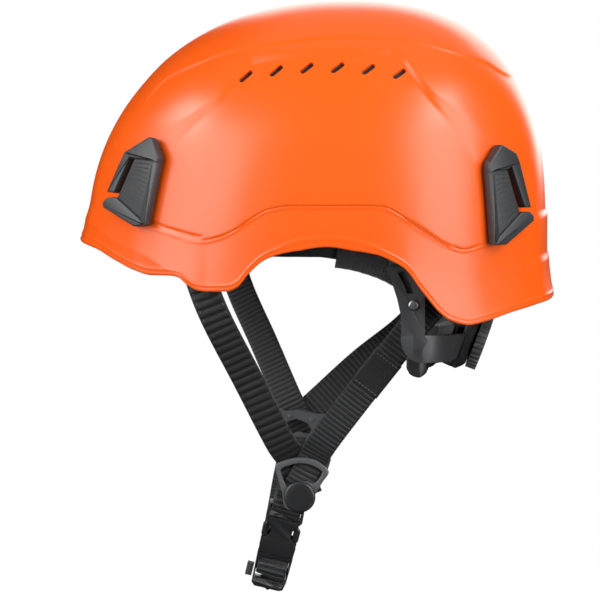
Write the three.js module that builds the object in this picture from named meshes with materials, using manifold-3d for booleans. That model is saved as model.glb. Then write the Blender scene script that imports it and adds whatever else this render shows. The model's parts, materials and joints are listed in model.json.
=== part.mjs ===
// Climbing and industrial helmet: hard shell, liner, size-adjusting nape cradle and Y-strap chin harness.
// Millimetres, +Z up, -Y to the visor, +X to the wearer's left. The origin is the centre of the head opening,
// level with the tip of the headband's lower edge and 10 mm below the top of the ear arches.
import * as THREE from 'three';
import { mergeVertices } from 'three/addons/utils/BufferGeometryUtils.js';
import Module from 'manifold-3d';

const wasm = await Module();
wasm.setup();

// ---- Driving dimensions -------------------------------------------------------------------------------
const shellCentre = new THREE.Vector3(0, 16, 10);
const crownRise = 138.8;
const halfWidth = 108;
const frontReach = 150.5;
const rearReach = 121.5;
const planFullness = 2.35;
const frontFullness = 2.07;
const sideFullness = 2.35;
const rearFullness = 2.65;
const shellWall = 2.6;
const touchGap = 0.3;

const brimReach = 8;
const brimHeight = 24;
const brimSpan = 1.15;
const rearLipReach = 5;
const rearLipHeight = 30;

const linerGap = 1.2;
const linerThickness = 11;
const linerEdge = 15.5;
const comfortThickness = 6;

const bandHalfWidth = 79;
const bandHalfLength = 98;
const bandCentreY = -6;
const bandThickness = 1.8;
const browThickness = 5;

const webbingWidth = 17.5;
const webbingThickness = 1.7;

const napeRadius = 82;
const napeAxisY = 9.5;
const napeLevel = -51.3;
const napeLean = THREE.MathUtils.degToRad(20);
const dialRadius = 17;
const dialThickness = 6;
const pinionRadius = 4.5;
const pinionTeeth = 10;
const pressureAngle = THREE.MathUtils.degToRad(25);
const toothAddendum = 0.72;
const toothDedendum = 0.95;
const toothBacklash = 0.3;

const tiltPivot = new THREE.Vector3(83, 62.2, -23.5);
const armClimb = 0.087;
const armThickness = 2.4;

const buckleTop = new THREE.Vector3(42, -13, -147.3);
const buckleTilt = THREE.MathUtils.degToRad(13.8);
const buckleLean = THREE.MathUtils.degToRad(12.3);
const buckleDepth = 8.4;

// The strap junction beside each jaw: where its button sits. The right one hangs higher and further forward.
const junctions = {
  left: new THREE.Vector3(50, -4.9, -140.1),
  right: new THREE.Vector3(-50, -14.5, -126.4),
};

// Height of the shell's rim against its distance along the helmet, from the brim's tip to the nape: [y, z].
const rimCurve = [
  [-134.5, 8.5], [-124.5, 7.4], [-111.5, 1.6], [-99.8, -3.6], [-88.6, -6.4], [-76.7, -6.5], [-71.3, -7.4],
  [-65.9, -11.8], [-59.9, -14.6], [-54, -15.1], [-43, -14.8], [-37.1, -12.3], [-31.3, -5.5], [-25.1, 0.6],
  [-19.7, 4.1], [-8.6, 7.6], [2.8, 9.3], [14.3, 9.9], [25.1, 9.3], [41.9, 6.9], [52.9, 2.3], [58.5, -1.2],
  [68.6, -14.4], [79.2, -27], [84.4, -30.7], [94.9, -33.5], [105.7, -31.7], [121.6, -27.4], [137.5, -25],
];

// The flats that the lamp clips sit on, as [azimuth, lean] in degrees, the distance from the shell's centre, and
// where the clip's middle sits on the flat.
const clipFlats = [
  { name: 'front', side: 1, azimuth: -34, lean: 9, distance: 126.3, along: -55.5, level: 14.2 },
  { name: 'rear', side: 1, azimuth: 47, lean: 4, distance: 118.2, along: 15.5, level: 22.7 },
];

// ---- Materials ----------------------------------------------------------------------------------------
const paint = (color, roughness, metalness = 0) => new THREE.MeshStandardMaterial({ color, roughness, metalness });
const orangePlastic = paint(0xff6a13, 0.3);
const darkPlastic = paint(0x2b2d30, 0.6);
const blackPlastic = paint(0x17181a, 0.5);
const greyPlastic = paint(0x55585c, 0.55);
const blackWebbing = paint(0x1c1c1e, 0.9);
const blackTextile = paint(0x151517, 0.95);
const foam = paint(0x2a2a2c, 0.85);
const steel = paint(0x9a9da1, 0.35, 1);
const labelCloth = paint(0x1f2022, 0.8);

// ---- Closed solids ------------------------------------------------------------------------------------
const welded = (geometry) => {
  geometry.deleteAttribute('normal');
  geometry.deleteAttribute('uv');
  return mergeVertices(geometry, 1e-3);
};

const signedVolume = (positions, index) => {
  const a = new THREE.Vector3();
  const b = new THREE.Vector3();
  const c = new THREE.Vector3();
  let volume = 0;
  for (let i = 0; i < index.length; i += 3) {
    a.fromBufferAttribute(positions, index[i]);
    b.fromBufferAttribute(positions, index[i + 1]);
    c.fromBufferAttribute(positions, index[i + 2]);
    volume += a.dot(b.cross(c));
  }
  return volume;
};

// Welds a geometry, drops its collapsed triangles and turns its faces outwards.
const closed = (geometry) => {
  const merged = welded(geometry);
  const kept = [];
  const index = merged.index.array;
  for (let i = 0; i < index.length; i += 3) {
    const [a, b, c] = [index[i], index[i + 1], index[i + 2]];
    if (a !== b && b !== c && c !== a) {
      kept.push(a, b, c);
    }
  }
  if (signedVolume(merged.attributes.position, kept) < 0) {
    kept.reverse();
  }
  merged.setIndex(kept);
  return merged;
};

const toSolid = (geometry) => {
  const merged = closed(geometry.clone());
  const mesh = new wasm.Mesh({
    numProp: 3,
    vertProperties: new Float32Array(merged.attributes.position.array),
    triVerts: new Uint32Array(merged.index.array),
  });
  return new wasm.Manifold(mesh);
};

const fromSolid = (solid) => {
  const mesh = solid.getMesh();
  const geometry = new THREE.BufferGeometry();
  geometry.setAttribute('position', new THREE.BufferAttribute(mesh.vertProperties, 3));
  geometry.setIndex(Array.from(mesh.triVerts));
  return geometry;
};

const join = (first, ...others) => {
  return fromSolid(others.reduce((solid, other) => solid.add(toSolid(other)), toSolid(first)));
};

const cut = (body, ...tools) => {
  return fromSolid(tools.reduce((solid, tool) => solid.subtract(toSolid(tool)), toSolid(body)));
};

// A closed slab between two surfaces. pointAt(u, v, side) gives its corners, with side 0 or 1.
const slab = (pointAt, columns, rows, wraps = false) => {
  const points = [];
  const index = [];
  const across = columns + 1;
  const perSide = across * (rows + 1);
  for (const side of [0, 1]) {
    for (let j = 0; j <= rows; j += 1) {
      for (let i = 0; i <= columns; i += 1) {
        const u = wraps && i === columns ? 0 : i / columns;
        points.push(...pointAt(u, j / rows, side).toArray());
      }
    }
  }
  const at = (i, j, side) => side * perSide + j * across + i;
  const quad = (a, b, c, d) => index.push(a, b, c, a, c, d);
  for (let j = 0; j < rows; j += 1) {
    for (let i = 0; i < columns; i += 1) {
      quad(at(i, j, 0), at(i + 1, j, 0), at(i + 1, j + 1, 0), at(i, j + 1, 0));
      quad(at(i, j, 1), at(i, j + 1, 1), at(i + 1, j + 1, 1), at(i + 1, j, 1));
    }
    if (!wraps) {
      quad(at(0, j, 0), at(0, j + 1, 0), at(0, j + 1, 1), at(0, j, 1));
      quad(at(columns, j, 0), at(columns, j, 1), at(columns, j + 1, 1), at(columns, j + 1, 0));
    }
  }
  for (let i = 0; i < columns; i += 1) {
    quad(at(i, 0, 0), at(i, 0, 1), at(i + 1, 0, 1), at(i + 1, 0, 0));
    quad(at(i, rows, 0), at(i + 1, rows, 0), at(i + 1, rows, 1), at(i, rows, 1));
  }
  const geometry = new THREE.BufferGeometry();
  geometry.setAttribute('position', new THREE.Float32BufferAttribute(points, 3));
  geometry.setIndex(index);
  return closed(geometry);
};

const outline = (points) => new THREE.Shape(points.map(([x, y]) => new THREE.Vector2(x, y)));

// A flat plate of an outline in X and Y, standing on Z = 0, with optional holes.
const plate = (points, thickness, holes = []) => {
  const shape = outline(points);
  shape.holes = holes.map(outline);
  return closed(new THREE.ExtrudeGeometry(shape, { depth: thickness, bevelEnabled: false }));
};

const block = (width, depth, height, x = 0, y = 0, z = 0) => {
  return closed(new THREE.BoxGeometry(width, depth, height).translate(x, y, z));
};

const round = (radius, height, sides = 24) => {
  return closed(new THREE.CylinderGeometry(radius, radius, height, sides).rotateX(Math.PI / 2));
};

const turned = (profile, sides = 24) => {
  const points = profile.map(([r, z]) => new THREE.Vector2(r, z));
  return closed(new THREE.LatheGeometry(points, sides).rotateX(Math.PI / 2));
};

const mirrored = (geometry) => closed(geometry.clone().scale(-1, 1, 1));

// ---- The scene graph ----------------------------------------------------------------------------------
const helmet = new THREE.Group();

const add = (name, geometry, material, parent = helmet) => {
  const mesh = new THREE.Mesh(geometry, material);
  mesh.name = name;
  parent.add(mesh);
  return mesh;
};

const addPair = (name, geometry, material, parent = helmet) => {
  add(`${name}_left`, geometry, material, parent);
  add(`${name}_right`, mirrored(geometry), material, parent);
};

// ---- Shell surface ------------------------------------------------------------------------------------
const mix = (a, b, t) => a + (b - a) * t;
const ease = (t) => {
  const s = THREE.MathUtils.clamp(t, 0, 1);
  return s * s * (3 - 2 * s);
};

// Heights between the rim curve's points, with slopes that never overshoot.
const rimHeight = (y) => {
  const last = rimCurve.length - 1;
  if (y <= rimCurve[0][0]) {
    return rimCurve[0][1];
  }
  if (y >= rimCurve[last][0]) {
    return rimCurve[last][1];
  }
  const i = rimCurve.findIndex(([reach]) => reach > y) - 1;
  const slope = (n) => (rimCurve[n + 1][1] - rimCurve[n][1]) / (rimCurve[n + 1][0] - rimCurve[n][0]);
  const tangent = (n) => {
    if (n === 0 || n === last) {
      return 0;
    }
    const [before, after] = [slope(n - 1), slope(n)];
    return before * after <= 0 ? 0 : (2 * before * after) / (before + after);
  };
  const span = rimCurve[i + 1][0] - rimCurve[i][0];
  const t = (y - rimCurve[i][0]) / span;
  const [a, b] = [tangent(i) * span, tangent(i + 1) * span];
  const rise = rimCurve[i + 1][1] - rimCurve[i][1];
  return rimCurve[i][1] + a * t + (3 * rise - 2 * a - b) * t * t + (a + b - 2 * rise) * t * t * t;
};

// The azimuth runs from 0 at the visor, through the wearer's left, to pi at the nape.
const planReach = (azimuth) => {
  const along = Math.cos(azimuth) > 0 ? frontReach : rearReach;
  const side = Math.abs(Math.sin(azimuth)) / halfWidth;
  const length = Math.abs(Math.cos(azimuth)) / along;
  return (side ** planFullness + length ** planFullness) ** (-1 / planFullness);
};

const fullness = (azimuth) => {
  const lengthwise = Math.cos(azimuth) ** 2;
  return mix(sideFullness, Math.cos(azimuth) > 0 ? frontFullness : rearFullness, lengthwise);
};

const rimLevel = (azimuth) => rimHeight(shellCentre.y - planReach(azimuth) * Math.cos(azimuth));

const flatNormal = ({ side, azimuth, lean }) => {
  const turn = THREE.MathUtils.degToRad(azimuth);
  const tip = THREE.MathUtils.degToRad(lean);
  return new THREE.Vector3(side * Math.cos(turn) * Math.cos(tip), Math.sin(turn) * Math.cos(tip), Math.sin(tip));
};

const allFlats = [...clipFlats, ...clipFlats.map((flat) => ({ ...flat, side: -1 }))];

// A point of the outer surface: t runs up the wall from 0 at the rim to 1 at the crown.
const surfacePoint = (azimuth, t) => {
  const reach = planReach(azimuth);
  const rim = rimLevel(azimuth);
  const wall = shellCentre.z - rim;
  const arc = crownRise * 0.9 * (Math.PI / 2);
  const climb = t * (wall + arc);
  const power = 2 / fullness(azimuth);
  const turn = Math.min(Math.max(climb - wall, 0) / arc, 1) * (Math.PI / 2);
  const height = climb < wall ? rim + climb : shellCentre.z + crownRise * Math.sin(turn) ** power;
  const forward = Math.abs(Math.atan2(Math.sin(azimuth), Math.cos(azimuth)));
  const backward = Math.PI - forward;
  const brim = brimReach * ease(1 - forward / brimSpan) * Math.max(1 - (height - rim) / brimHeight, 0) ** 2;
  const lip = rearLipReach * ease(1.5 - backward) * Math.max(1 - (height - rim) / rearLipHeight, 0) ** 2;
  const radius = reach * Math.max(Math.cos(turn), 0) ** power + brim + lip;
  const point = new THREE.Vector3(Math.sin(azimuth) * radius, -Math.cos(azimuth) * radius, height);
  point.y += shellCentre.y;
  for (const flat of allFlats) {
    const normal = flatNormal(flat);
    const outside = normal.dot(point) - normal.dot(shellCentre) - flat.distance;
    if (outside > 0) {
      point.addScaledVector(normal, -outside);
    }
  }
  return point;
};

// The surface moved inwards along its normal.
const insetPoint = (azimuth, t, inset) => {
  const step = 0.01;
  const here = surfacePoint(azimuth, t);
  if (t > 1 - step) {
    return here.setZ(here.z - inset);
  }
  const up = surfacePoint(azimuth, t + step / 2).sub(here);
  const along = surfacePoint(azimuth + step, t).sub(surfacePoint(azimuth - step, t));
  const normal = along.cross(up).normalize();
  return here.addScaledVector(normal, -inset);
};

const climbTo = (azimuth, level) => {
  const rim = rimLevel(azimuth);
  const wall = shellCentre.z - rim;
  return (level - rim) / (wall + crownRise * 0.9 * (Math.PI / 2));
};

// ---- Shell, with its six slanted vents on each side ----------------------------------------------------
const shellColumns = 88;
const shellRows = 13;
const vents = { count: 6, firstY: -33.6, pitch: 17.4, level: 106, bow: 6, length: 11, height: 3, slant: 44, cant: 36 };

const ventTool = (number, side) => {
  const tool = block(24, vents.length, vents.height);
  tool.rotateX(THREE.MathUtils.degToRad(vents.slant));
  tool.rotateY(THREE.MathUtils.degToRad(-vents.cant));
  const fromMiddle = (number - (vents.count - 1) / 2) / (vents.count / 2);
  const level = vents.level + vents.bow * (1 - fromMiddle ** 2);
  tool.translate(82 - 2.5 * fromMiddle ** 2, vents.firstY + number * vents.pitch, level);
  return side > 0 ? tool : mirrored(tool);
};

const makeShell = () => {
  const wall = slab(
    (u, v, side) => insetPoint(u * 2 * Math.PI, v, side * shellWall),
    shellColumns, shellRows, true,
  );
  const tools = [];
  for (let number = 0; number < vents.count; number += 1) {
    tools.push(ventTool(number, 1), ventTool(number, -1));
  }
  return cut(wall, ...tools);
};

// ---- Impact liner and comfort pads ----------------------------------------------------------------------
const linerOuter = shellWall + linerGap;
const linerInner = linerOuter + linerThickness;
const padOuter = linerInner + 1.6;

const linerStart = (azimuth) => climbTo(azimuth, Math.max(linerEdge, rimLevel(azimuth) + 9));

const makeLiner = () => slab(
  (u, v, side) => {
    const azimuth = u * 2 * Math.PI;
    return insetPoint(azimuth, mix(linerStart(azimuth), 1, v), mix(linerOuter, linerInner, side));
  },
  44, 8, true,
);

const makePad = (fromAzimuth, toAzimuth, fromClimb, toClimb) => slab(
  (u, v, side) => insetPoint(
    THREE.MathUtils.degToRad(mix(fromAzimuth, toAzimuth, u)),
    mix(fromClimb, toClimb, v),
    padOuter + side * comfortThickness,
  ),
  6, 4,
);

const makeCrownPad = () => slab(
  (u, v, side) => insetPoint(u * 2 * Math.PI, mix(0.86, 1, v), padOuter + side * comfortThickness),
  16, 2, true,
);

// ---- Headband and brow pad ------------------------------------------------------------------------------
const bandPoint = (angle, level, inset) => {
  const reach = new THREE.Vector2(Math.sin(angle) * bandHalfWidth, -Math.cos(angle) * bandHalfLength);
  const normal = new THREE.Vector2(reach.x / bandHalfWidth ** 2, reach.y / bandHalfLength ** 2).normalize();
  return new THREE.Vector3(reach.x - normal.x * inset, bandCentreY + reach.y - normal.y * inset, level);
};

const bandEnd = 2.1;
const bandBottom = (angle) => 3 - 11.5 * ease((Math.abs(angle) - 1.7) / 0.6);
const bandTop = (angle) => mix(24, 13, ease((Math.abs(angle) - 1.2) / 0.7));

const makeHeadband = () => slab(
  (u, v, side) => {
    const angle = mix(-bandEnd, bandEnd, u);
    return bandPoint(angle, mix(bandBottom(angle), bandTop(angle), v), side * bandThickness);
  },
  40, 1,
);

// The brow pad reaches just below the headband and stops short of its top.
const browDrop = 0.5;
const browStepDown = 1.5;

const makeBrowPad = () => slab(
  (u, v, side) => {
    const angle = mix(-bandEnd + 0.03, bandEnd - 0.03, u);
    const level = mix(bandBottom(angle) - browDrop, bandTop(angle) - browStepDown, v);
    return bandPoint(angle, level, bandThickness + touchGap + side * browThickness);
  },
  36, 1,
);

// ---- Slotted bars inside the shell that carry the front straps -------------------------------------------
const frontBar = { from: 39, to: 54, bottom: 2, top: 13, rail: 2.8, inset: 7.5, thickness: 2.4 };

const barPiece = (from, to, bottom, top, columns) => slab(
  (u, v, side) => {
    const azimuth = THREE.MathUtils.degToRad(mix(from, to, u));
    const level = mix(bottom, top, v);
    const reach = planReach(azimuth) - frontBar.inset - side * frontBar.thickness;
    return new THREE.Vector3(Math.sin(azimuth) * reach, shellCentre.y - Math.cos(azimuth) * reach, level);
  },
  columns, 1,
);

const makeFrontBar = () => {
  const { from, to, bottom, top, rail } = frontBar;
  return join(
    barPiece(from, to, bottom, bottom + rail, 8),
    barPiece(from, to, top - rail, top, 8),
    barPiece(from, from + 1.6, bottom + 0.5, top - 0.5, 1),
    barPiece(to - 1.6, to, bottom + 0.5, top - 0.5, 1),
  );
};

// ---- Lamp clips: a body with a slot behind a thin hooked arm ---------------------------------------------
const clipDepth = 6;
const clipShapes = {
  front: {
    body: [
      [-12.9, 26.8], [-15.4, 25.6], [-21.2, 15.4], [-15.8, -23.7], [-7.4, -24.8], [17.3, -15], [18.1, -12.6],
      [11.2, -8.9], [10.4, -7.4], [15.5, -6], [5.1, 17.1], [-3, 21.5],
    ],
    slot: [[-4, 13.2], [-5.8, 9], [8.2, -7], [11.5, -4.6]],
  },
  rear: {
    body: [
      [-5.1, 26.1], [-14.7, 16.4], [-15.5, 13.2], [-13.4, -30.6], [-4.5, -30.8], [19.1, -18.7], [19.6, -15.6],
      [12.6, -13.8], [12.4, -12.6], [17.4, -12.7], [9.9, 14.5], [7.1, 20.5],
    ],
    slot: [[2.2, 13.5], [-0.6, 10.5], [10.6, -12.4], [14.2, -10.4]],
  },
};

const makeClip = ({ body, slot }) => cut(plate(body, clipDepth), plate(slot, clipDepth + 2).translate(0, 0, -1));

const placeClip = (flat) => {
  const seat = new THREE.Group();
  const normal = flatNormal(flat);
  const level = new THREE.Vector3(0, 0, 1);
  const across = new THREE.Vector3().crossVectors(level, normal).normalize();
  const up = new THREE.Vector3().crossVectors(normal, across);
  seat.matrixAutoUpdate = false;
  seat.matrix.makeBasis(across, up, normal);
  const at = shellCentre.clone().addScaledVector(normal, flat.distance + touchGap);
  at.addScaledVector(across, flat.along * flat.side);
  at.addScaledVector(up, flat.level);
  seat.matrix.setPosition(at);
  helmet.add(seat);
  return seat;
};

for (const flat of allFlats) {
  const seat = placeClip(flat);
  const handed = flat.side > 0 ? 'left' : 'right';
  const clip = makeClip(clipShapes[flat.name]);
  const turnedRound = (flat.name === 'front') === (flat.side > 0);
  add(`lamp_clip_${flat.name}_${handed}`, turnedRound ? mirrored(clip) : clip, darkPlastic, seat);
}

// ---- Nape cradle: a leaning band on an upright axis behind the head ---------------------------------------
// angle turns from the nape towards the wearer's left, along climbs the leaning band, out leaves the head.
const napePoint = (angle, along, out) => {
  const radial = napeRadius + along * Math.sin(napeLean) + out * Math.cos(napeLean);
  const level = napeLevel + along * Math.cos(napeLean) - out * Math.sin(napeLean);
  return new THREE.Vector3(radial * Math.sin(angle), napeAxisY + radial * Math.cos(angle), level);
};

const napeSlab = (fromDegrees, toDegrees, bottom, top, inner, outer, columns = 12) => slab(
  (u, v, side) => {
    const angle = THREE.MathUtils.degToRad(mix(fromDegrees, toDegrees, u));
    return napePoint(angle, mix(bottom, top, v), mix(inner, outer, side));
  },
  columns, 1,
);

// Places a solid made about Z on the dial's axis, out of the band by a distance.
const onDialAxis = (geometry, out) => {
  const at = napePoint(0, 0, out);
  return geometry.rotateX(-Math.PI / 2 - napeLean).translate(at.x, at.y, at.z);
};

const housing = { halfAngle: 22, bottom: -14.5, top: 13, channel: 10 };
const layers = { baseInner: -4, baseOuter: -1.9, coverInner: 1.9, coverOuter: 4.6, dialInner: 5 };

const makeHousingBase = () => join(
  napeSlab(-housing.halfAngle, housing.halfAngle, housing.bottom, housing.top, layers.baseInner, layers.baseOuter),
  napeSlab(-housing.halfAngle, housing.halfAngle, housing.channel, housing.top, layers.baseOuter - 0.4, 1.5),
  napeSlab(-housing.halfAngle, housing.halfAngle, housing.bottom, -housing.channel, layers.baseOuter - 0.4, 1.5),
);

const makeHousingCover = () => cut(
  napeSlab(-housing.halfAngle, housing.halfAngle, housing.bottom, housing.top, layers.coverInner, layers.coverOuter, 20),
  onDialAxis(round(3.1, 12), 3),
);

const knurledOutline = (radius, depth, count) => {
  const points = [];
  for (let i = 0; i < count; i += 1) {
    for (const [step, reach] of [[0.12, radius], [0.55, radius], [0.67, radius - depth], [1, radius - depth]]) {
      const angle = ((i + step) / count) * 2 * Math.PI;
      points.push([reach * Math.cos(angle), reach * Math.sin(angle)]);
    }
  }
  return points;
};

const makeDial = () => {
  const rim = plate(knurledOutline(dialRadius, 0.8, 30), dialThickness);
  const recess = round(9.5, 2.6);
  const hub = round(2.7, 5).translate(0, 0, 0.3);
  return onDialAxis(join(cut(rim, recess), hub), layers.dialInner);
};

const makeDetentSpring = () => {
  const ring = cut(round(8.4, 0.8), round(5.4, 2));
  return onDialAxis(ring, layers.dialInner + 0.3);
};

// Involute pinion, and racks with straight flanks of the same pressure angle.
const toothPitch = (2 * Math.PI * pinionRadius) / pinionTeeth;

const pinionOutline = () => {
  const baseRadius = pinionRadius * Math.cos(pressureAngle);
  const involute = (angle) => Math.tan(angle) - angle;
  const halfTooth = (Math.PI / 2) / pinionTeeth - toothBacklash / 4 / pinionRadius;
  const flank = [];
  const steps = 4;
  for (let i = 0; i <= steps; i += 1) {
    const radius = mix(baseRadius, pinionRadius + toothAddendum, i / steps);
    const turn = involute(Math.acos(baseRadius / radius));
    flank.push([radius, halfTooth + involute(pressureAngle) - turn]);
  }
  flank.unshift([pinionRadius - toothDedendum, flank[0][1]]);
  const points = [];
  for (let tooth = 0; tooth < pinionTeeth; tooth += 1) {
    const centre = Math.PI / 2 + (tooth * 2 * Math.PI) / pinionTeeth;
    for (const [radius, angle] of flank) {
      points.push([radius * Math.cos(centre - angle), radius * Math.sin(centre - angle)]);
    }
    for (const [radius, angle] of [...flank].reverse()) {
      points.push([radius * Math.cos(centre + angle), radius * Math.sin(centre + angle)]);
    }
  }
  return points;
};

const makePinion = () => onDialAxis(plate(pinionOutline(), 3).translate(0, 0, -1.5), 0);

const rack = { teeth: 10, back: 9.3, tail: 44, tailBottom: -8, tailTop: -1.5, crank: 24 };

// side 1 is the left rack, which runs under the pinion; side -1 is the right rack, which runs over it.
const makeRack = (side) => {
  const stations = [];
  const tipHalf = toothPitch / 4 - toothAddendum * Math.tan(pressureAngle) - toothBacklash / 4;
  const rootHalf = toothPitch / 4 + toothDedendum * Math.tan(pressureAngle) - toothBacklash / 4;
  const tip = pinionRadius - toothAddendum;
  const root = pinionRadius + toothDedendum;
  for (let tooth = 0; tooth < rack.teeth; tooth += 1) {
    const centre = (tooth - 3) * toothPitch + toothPitch / 2;
    stations.push([centre - rootHalf, root], [centre - tipHalf, tip], [centre + tipHalf, tip], [centre + rootHalf, root]);
  }
  stations.push([rack.crank - 1, root], [rack.crank + 5, null], [(rack.crank + rack.tail) / 2, null], [rack.tail, null]);
  const columns = stations.length - 1;
  return slab(
    (u, v, thickness) => {
      const [distance, edge] = stations[Math.round(u * columns)];
      const toothed = side > 0 ? [-rack.back, -(edge ?? 0)] : [edge ?? 0, rack.back];
      const [low, high] = edge === null ? [rack.tailBottom, rack.tailTop] : toothed;
      return napePoint((side * distance) / napeRadius, mix(low, high, v), mix(-1.5, 1.5, thickness));
    },
    columns, 1,
  );
};

// The arm's plan runs straight back beside the pivot, then bends in to follow the nape band.
const armPlan = new THREE.CatmullRomCurve3([
  new THREE.Vector3(tiltPivot.x, 55, 0), new THREE.Vector3(tiltPivot.x, 61.5, 0),
  new THREE.Vector3(82, 68.8, 0), new THREE.Vector3(76, 76.3, 0), new THREE.Vector3(65, 81.4, 0),
  new THREE.Vector3(51, 84.9, 0), new THREE.Vector3(38, 87.9, 0), new THREE.Vector3(35.2, 88.7, 0),
]);

const armPoint = (u, along, out) => {
  const at = armPlan.getPoint(u);
  const heading = armPlan.getTangent(u);
  const away = new THREE.Vector3(heading.y, -heading.x, 0);
  const lean = napeLean * ease((u - 0.35) / 0.6);
  at.addScaledVector(away, out * Math.cos(lean) + along * Math.sin(lean));
  at.z = napeLevel + armClimb * at.x + along * Math.cos(lean) - out * Math.sin(lean);
  return at;
};

const armBottom = (u) => -12.5 + 14 * (1 - Math.sqrt(1 - THREE.MathUtils.clamp(1 - u / 0.24, 0, 1) ** 2 * 0.96));

const uprightOutline = [
  [55.2, -45], [55, -30], [52.8, -20], [49, -8.5], [47, -2], [68.5, -2], [68.6, -41], [70.5, -43.4],
  [67.5, -49], [57.5, -48],
];

const slotOutline = [[53.1, -5.3], [56.5, -4.4], [59.8, -10.3], [62.1, -16.8], [58.5, -17.1], [56.1, -10.8]];

const swungPlate = (points, thickness, x) => {
  return plate(points, thickness).rotateY(Math.PI / 2).rotateX(Math.PI / 2).translate(x, 0, 0);
};

const pivotHole = () => round(2.1, 20).rotateY(Math.PI / 2).translate(tiltPivot.x, tiltPivot.y, tiltPivot.z);

const makeArm = () => {
  const leg = slab((u, v, side) => armPoint(u, mix(armBottom(u), 3, v), (side - 0.5) * armThickness), 20, 1);
  const upright = swungPlate(uprightOutline, armThickness - 0.1, tiltPivot.x - armThickness / 2 + 0.05);
  const window = swungPlate(slotOutline, 8, tiltPivot.x - 4);
  return cut(join(leg, upright), window, pivotHole());
};

// The hanger carries the pivot and is fixed to the shell by a tab.
const hangerX = tiltPivot.x - armThickness / 2 - 0.4 - 2.4;
const hangerOutline = [[55, -29], [53, -19], [49.5, -8], [47.5, 4], [65.5, 4], [64.5, -29], [60.5, -30.5]];

const makeHanger = () => {
  const leaf = swungPlate(hangerOutline, 2.4, hangerX);
  const tab = block(18, 14, 3, hangerX + 10, 56.5, 2.5);
  return cut(join(leaf, tab), pivotHole());
};

const makeRivet = () => {
  const inside = hangerX - 0.3;
  const outside = tiltPivot.x + armThickness / 2 + 0.3;
  const profile = [
    [0, inside - 1.4], [2.6, inside - 1.4], [3.1, inside - 0.7], [3.1, inside], [1.9, inside],
    [1.9, outside], [3.1, outside], [3.1, outside + 0.7], [2.4, outside + 1.4], [0, outside + 1.4],
  ];
  return turned(profile, 20).rotateY(Math.PI / 2).translate(0, tiltPivot.y, tiltPivot.z);
};

// A wing of the pad carrier that shows as a lobe under the arm.
const makeWing = () => slab(
  (u, v, side) => {
    const lobe = Math.sin(Math.PI * THREE.MathUtils.clamp((u - 0.45) / 0.55, 0, 1)) ** 0.5;
    const bottom = mix(-16, -21.5, lobe);
    return armPoint(mix(0.72, 0.06, u), mix(bottom, -9.5, v), -armThickness / 2 - 6 - side * 1.8);
  },
  14, 1,
);

const makeNapePad = () => napeSlab(-36, 36, -15, 10, -10, -4.6, 14);

// ---- Webbing --------------------------------------------------------------------------------------------
// Each station is [x, y, z] of the webbing's middle line; the width lies across the line, flat to the head.
const ribbon = (stations, faces, steps = 10, width = webbingWidth) => {
  const line = new THREE.CatmullRomCurve3(stations.map((p) => new THREE.Vector3(...p)), false, 'centripetal');
  const outward = faces.map((p) => new THREE.Vector3(...p).normalize());
  return slab(
    (u, v, side) => {
      const at = line.getPointAt(v);
      const heading = line.getTangentAt(v);
      const place = v * (outward.length - 1);
      const before = Math.min(Math.floor(place), outward.length - 2);
      const face = outward[before].clone().lerp(outward[before + 1], place - before);
      const across = new THREE.Vector3().crossVectors(face, heading).normalize();
      const normal = new THREE.Vector3().crossVectors(heading, across).normalize();
      at.addScaledVector(across, (u - 0.5) * width);
      return at.addScaledVector(normal, (side - 0.5) * webbingThickness);
    },
    1, steps,
  );
};

const facingSide = [1, 0, 0];

const strapRoutes = {
  front_left: [[53, -12.6, -115.9], [68, -33.6, -69.5], [84.2, -52.6, -27], [84.2, -62.5, 0]],
  rear_left: [[53, 5.8, -116.6], [62, 30, -78.6], [69, 53, -48.5], [71.5, 64, -34.5], [74.5, 73, -24], [80, 80, -16]],
  front_right: [[-53, -19.5, -98.7], [-69, -36.6, -64.3], [-84.2, -53.9, -29.8], [-84.2, -62.5, 0]],
  rear_right: [[-53, -6, -103.6], [-62, 25, -75.5], [-68.5, 50, -56], [-71, 62, -44], [-74, 72, -31], [-80, 80, -18]],
};

const makeStrap = (route) => ribbon(route, [facingSide, facingSide, facingSide], 12);

const rearAnchor = { y: 83, level: -10, length: 24, height: 11, thickness: 2.4 };

const makeRearAnchor = () => {
  const body = block(rearAnchor.thickness, rearAnchor.length, rearAnchor.height);
  const slot = block(8, rearAnchor.length - 5, 3.5, 0, 0, 1);
  const post = block(4, 6, 5, 2.5, 6, -2.5);
  return join(cut(body, slot), post).rotateZ(0.5).translate(86, rearAnchor.y, rearAnchor.level);
};

// ---- Strap junctions, made about the middle of their button, facing outwards along Z ------------------------
const frameOutline = [
  [-14.7, 17.9], [-9, 21.3], [0.5, 23], [10, 21.3], [16.9, 14.7], [13, 8], [8.5, 0], [6, -7], [0, -10],
  [-8.8, -7], [-10.5, 2], [-13, 10],
];
const frameWindow = [[-11.4, 15], [0.5, 19.4], [13, 14.4], [8.5, 8], [0, 10], [-7, 5]];
const backOutline = [
  [-12, 25], [-6, 22.5], [0.5, 23], [10, 21.5], [17.8, 21], [15, 12], [9, 4], [5.5, 4], [10, 11], [7, 15.5],
  [0.5, 18], [-5, 16.6], [-7.5, 13], [-6, 5], [-9.5, 5], [-12, 14],
];
const backRivets = [[-4.2, 19.9], [9.2, 17.6]];

const makeJunctionFrame = () => cut(plate(frameOutline, 3), plate(frameWindow, 5).translate(0, 0, -1));

const makeJunctionBack = () => join(
  plate(backOutline, 1.6),
  ...backRivets.map(([x, y]) => round(1.2, 1.2, 12).translate(x, y, -0.4)),
);

const makeButton = () => turned([[0, 0], [8.6, 0], [9.3, 0.8], [9.3, 2], [8.4, 2.9], [5, 3.4], [0, 3.6]], 28);

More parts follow.
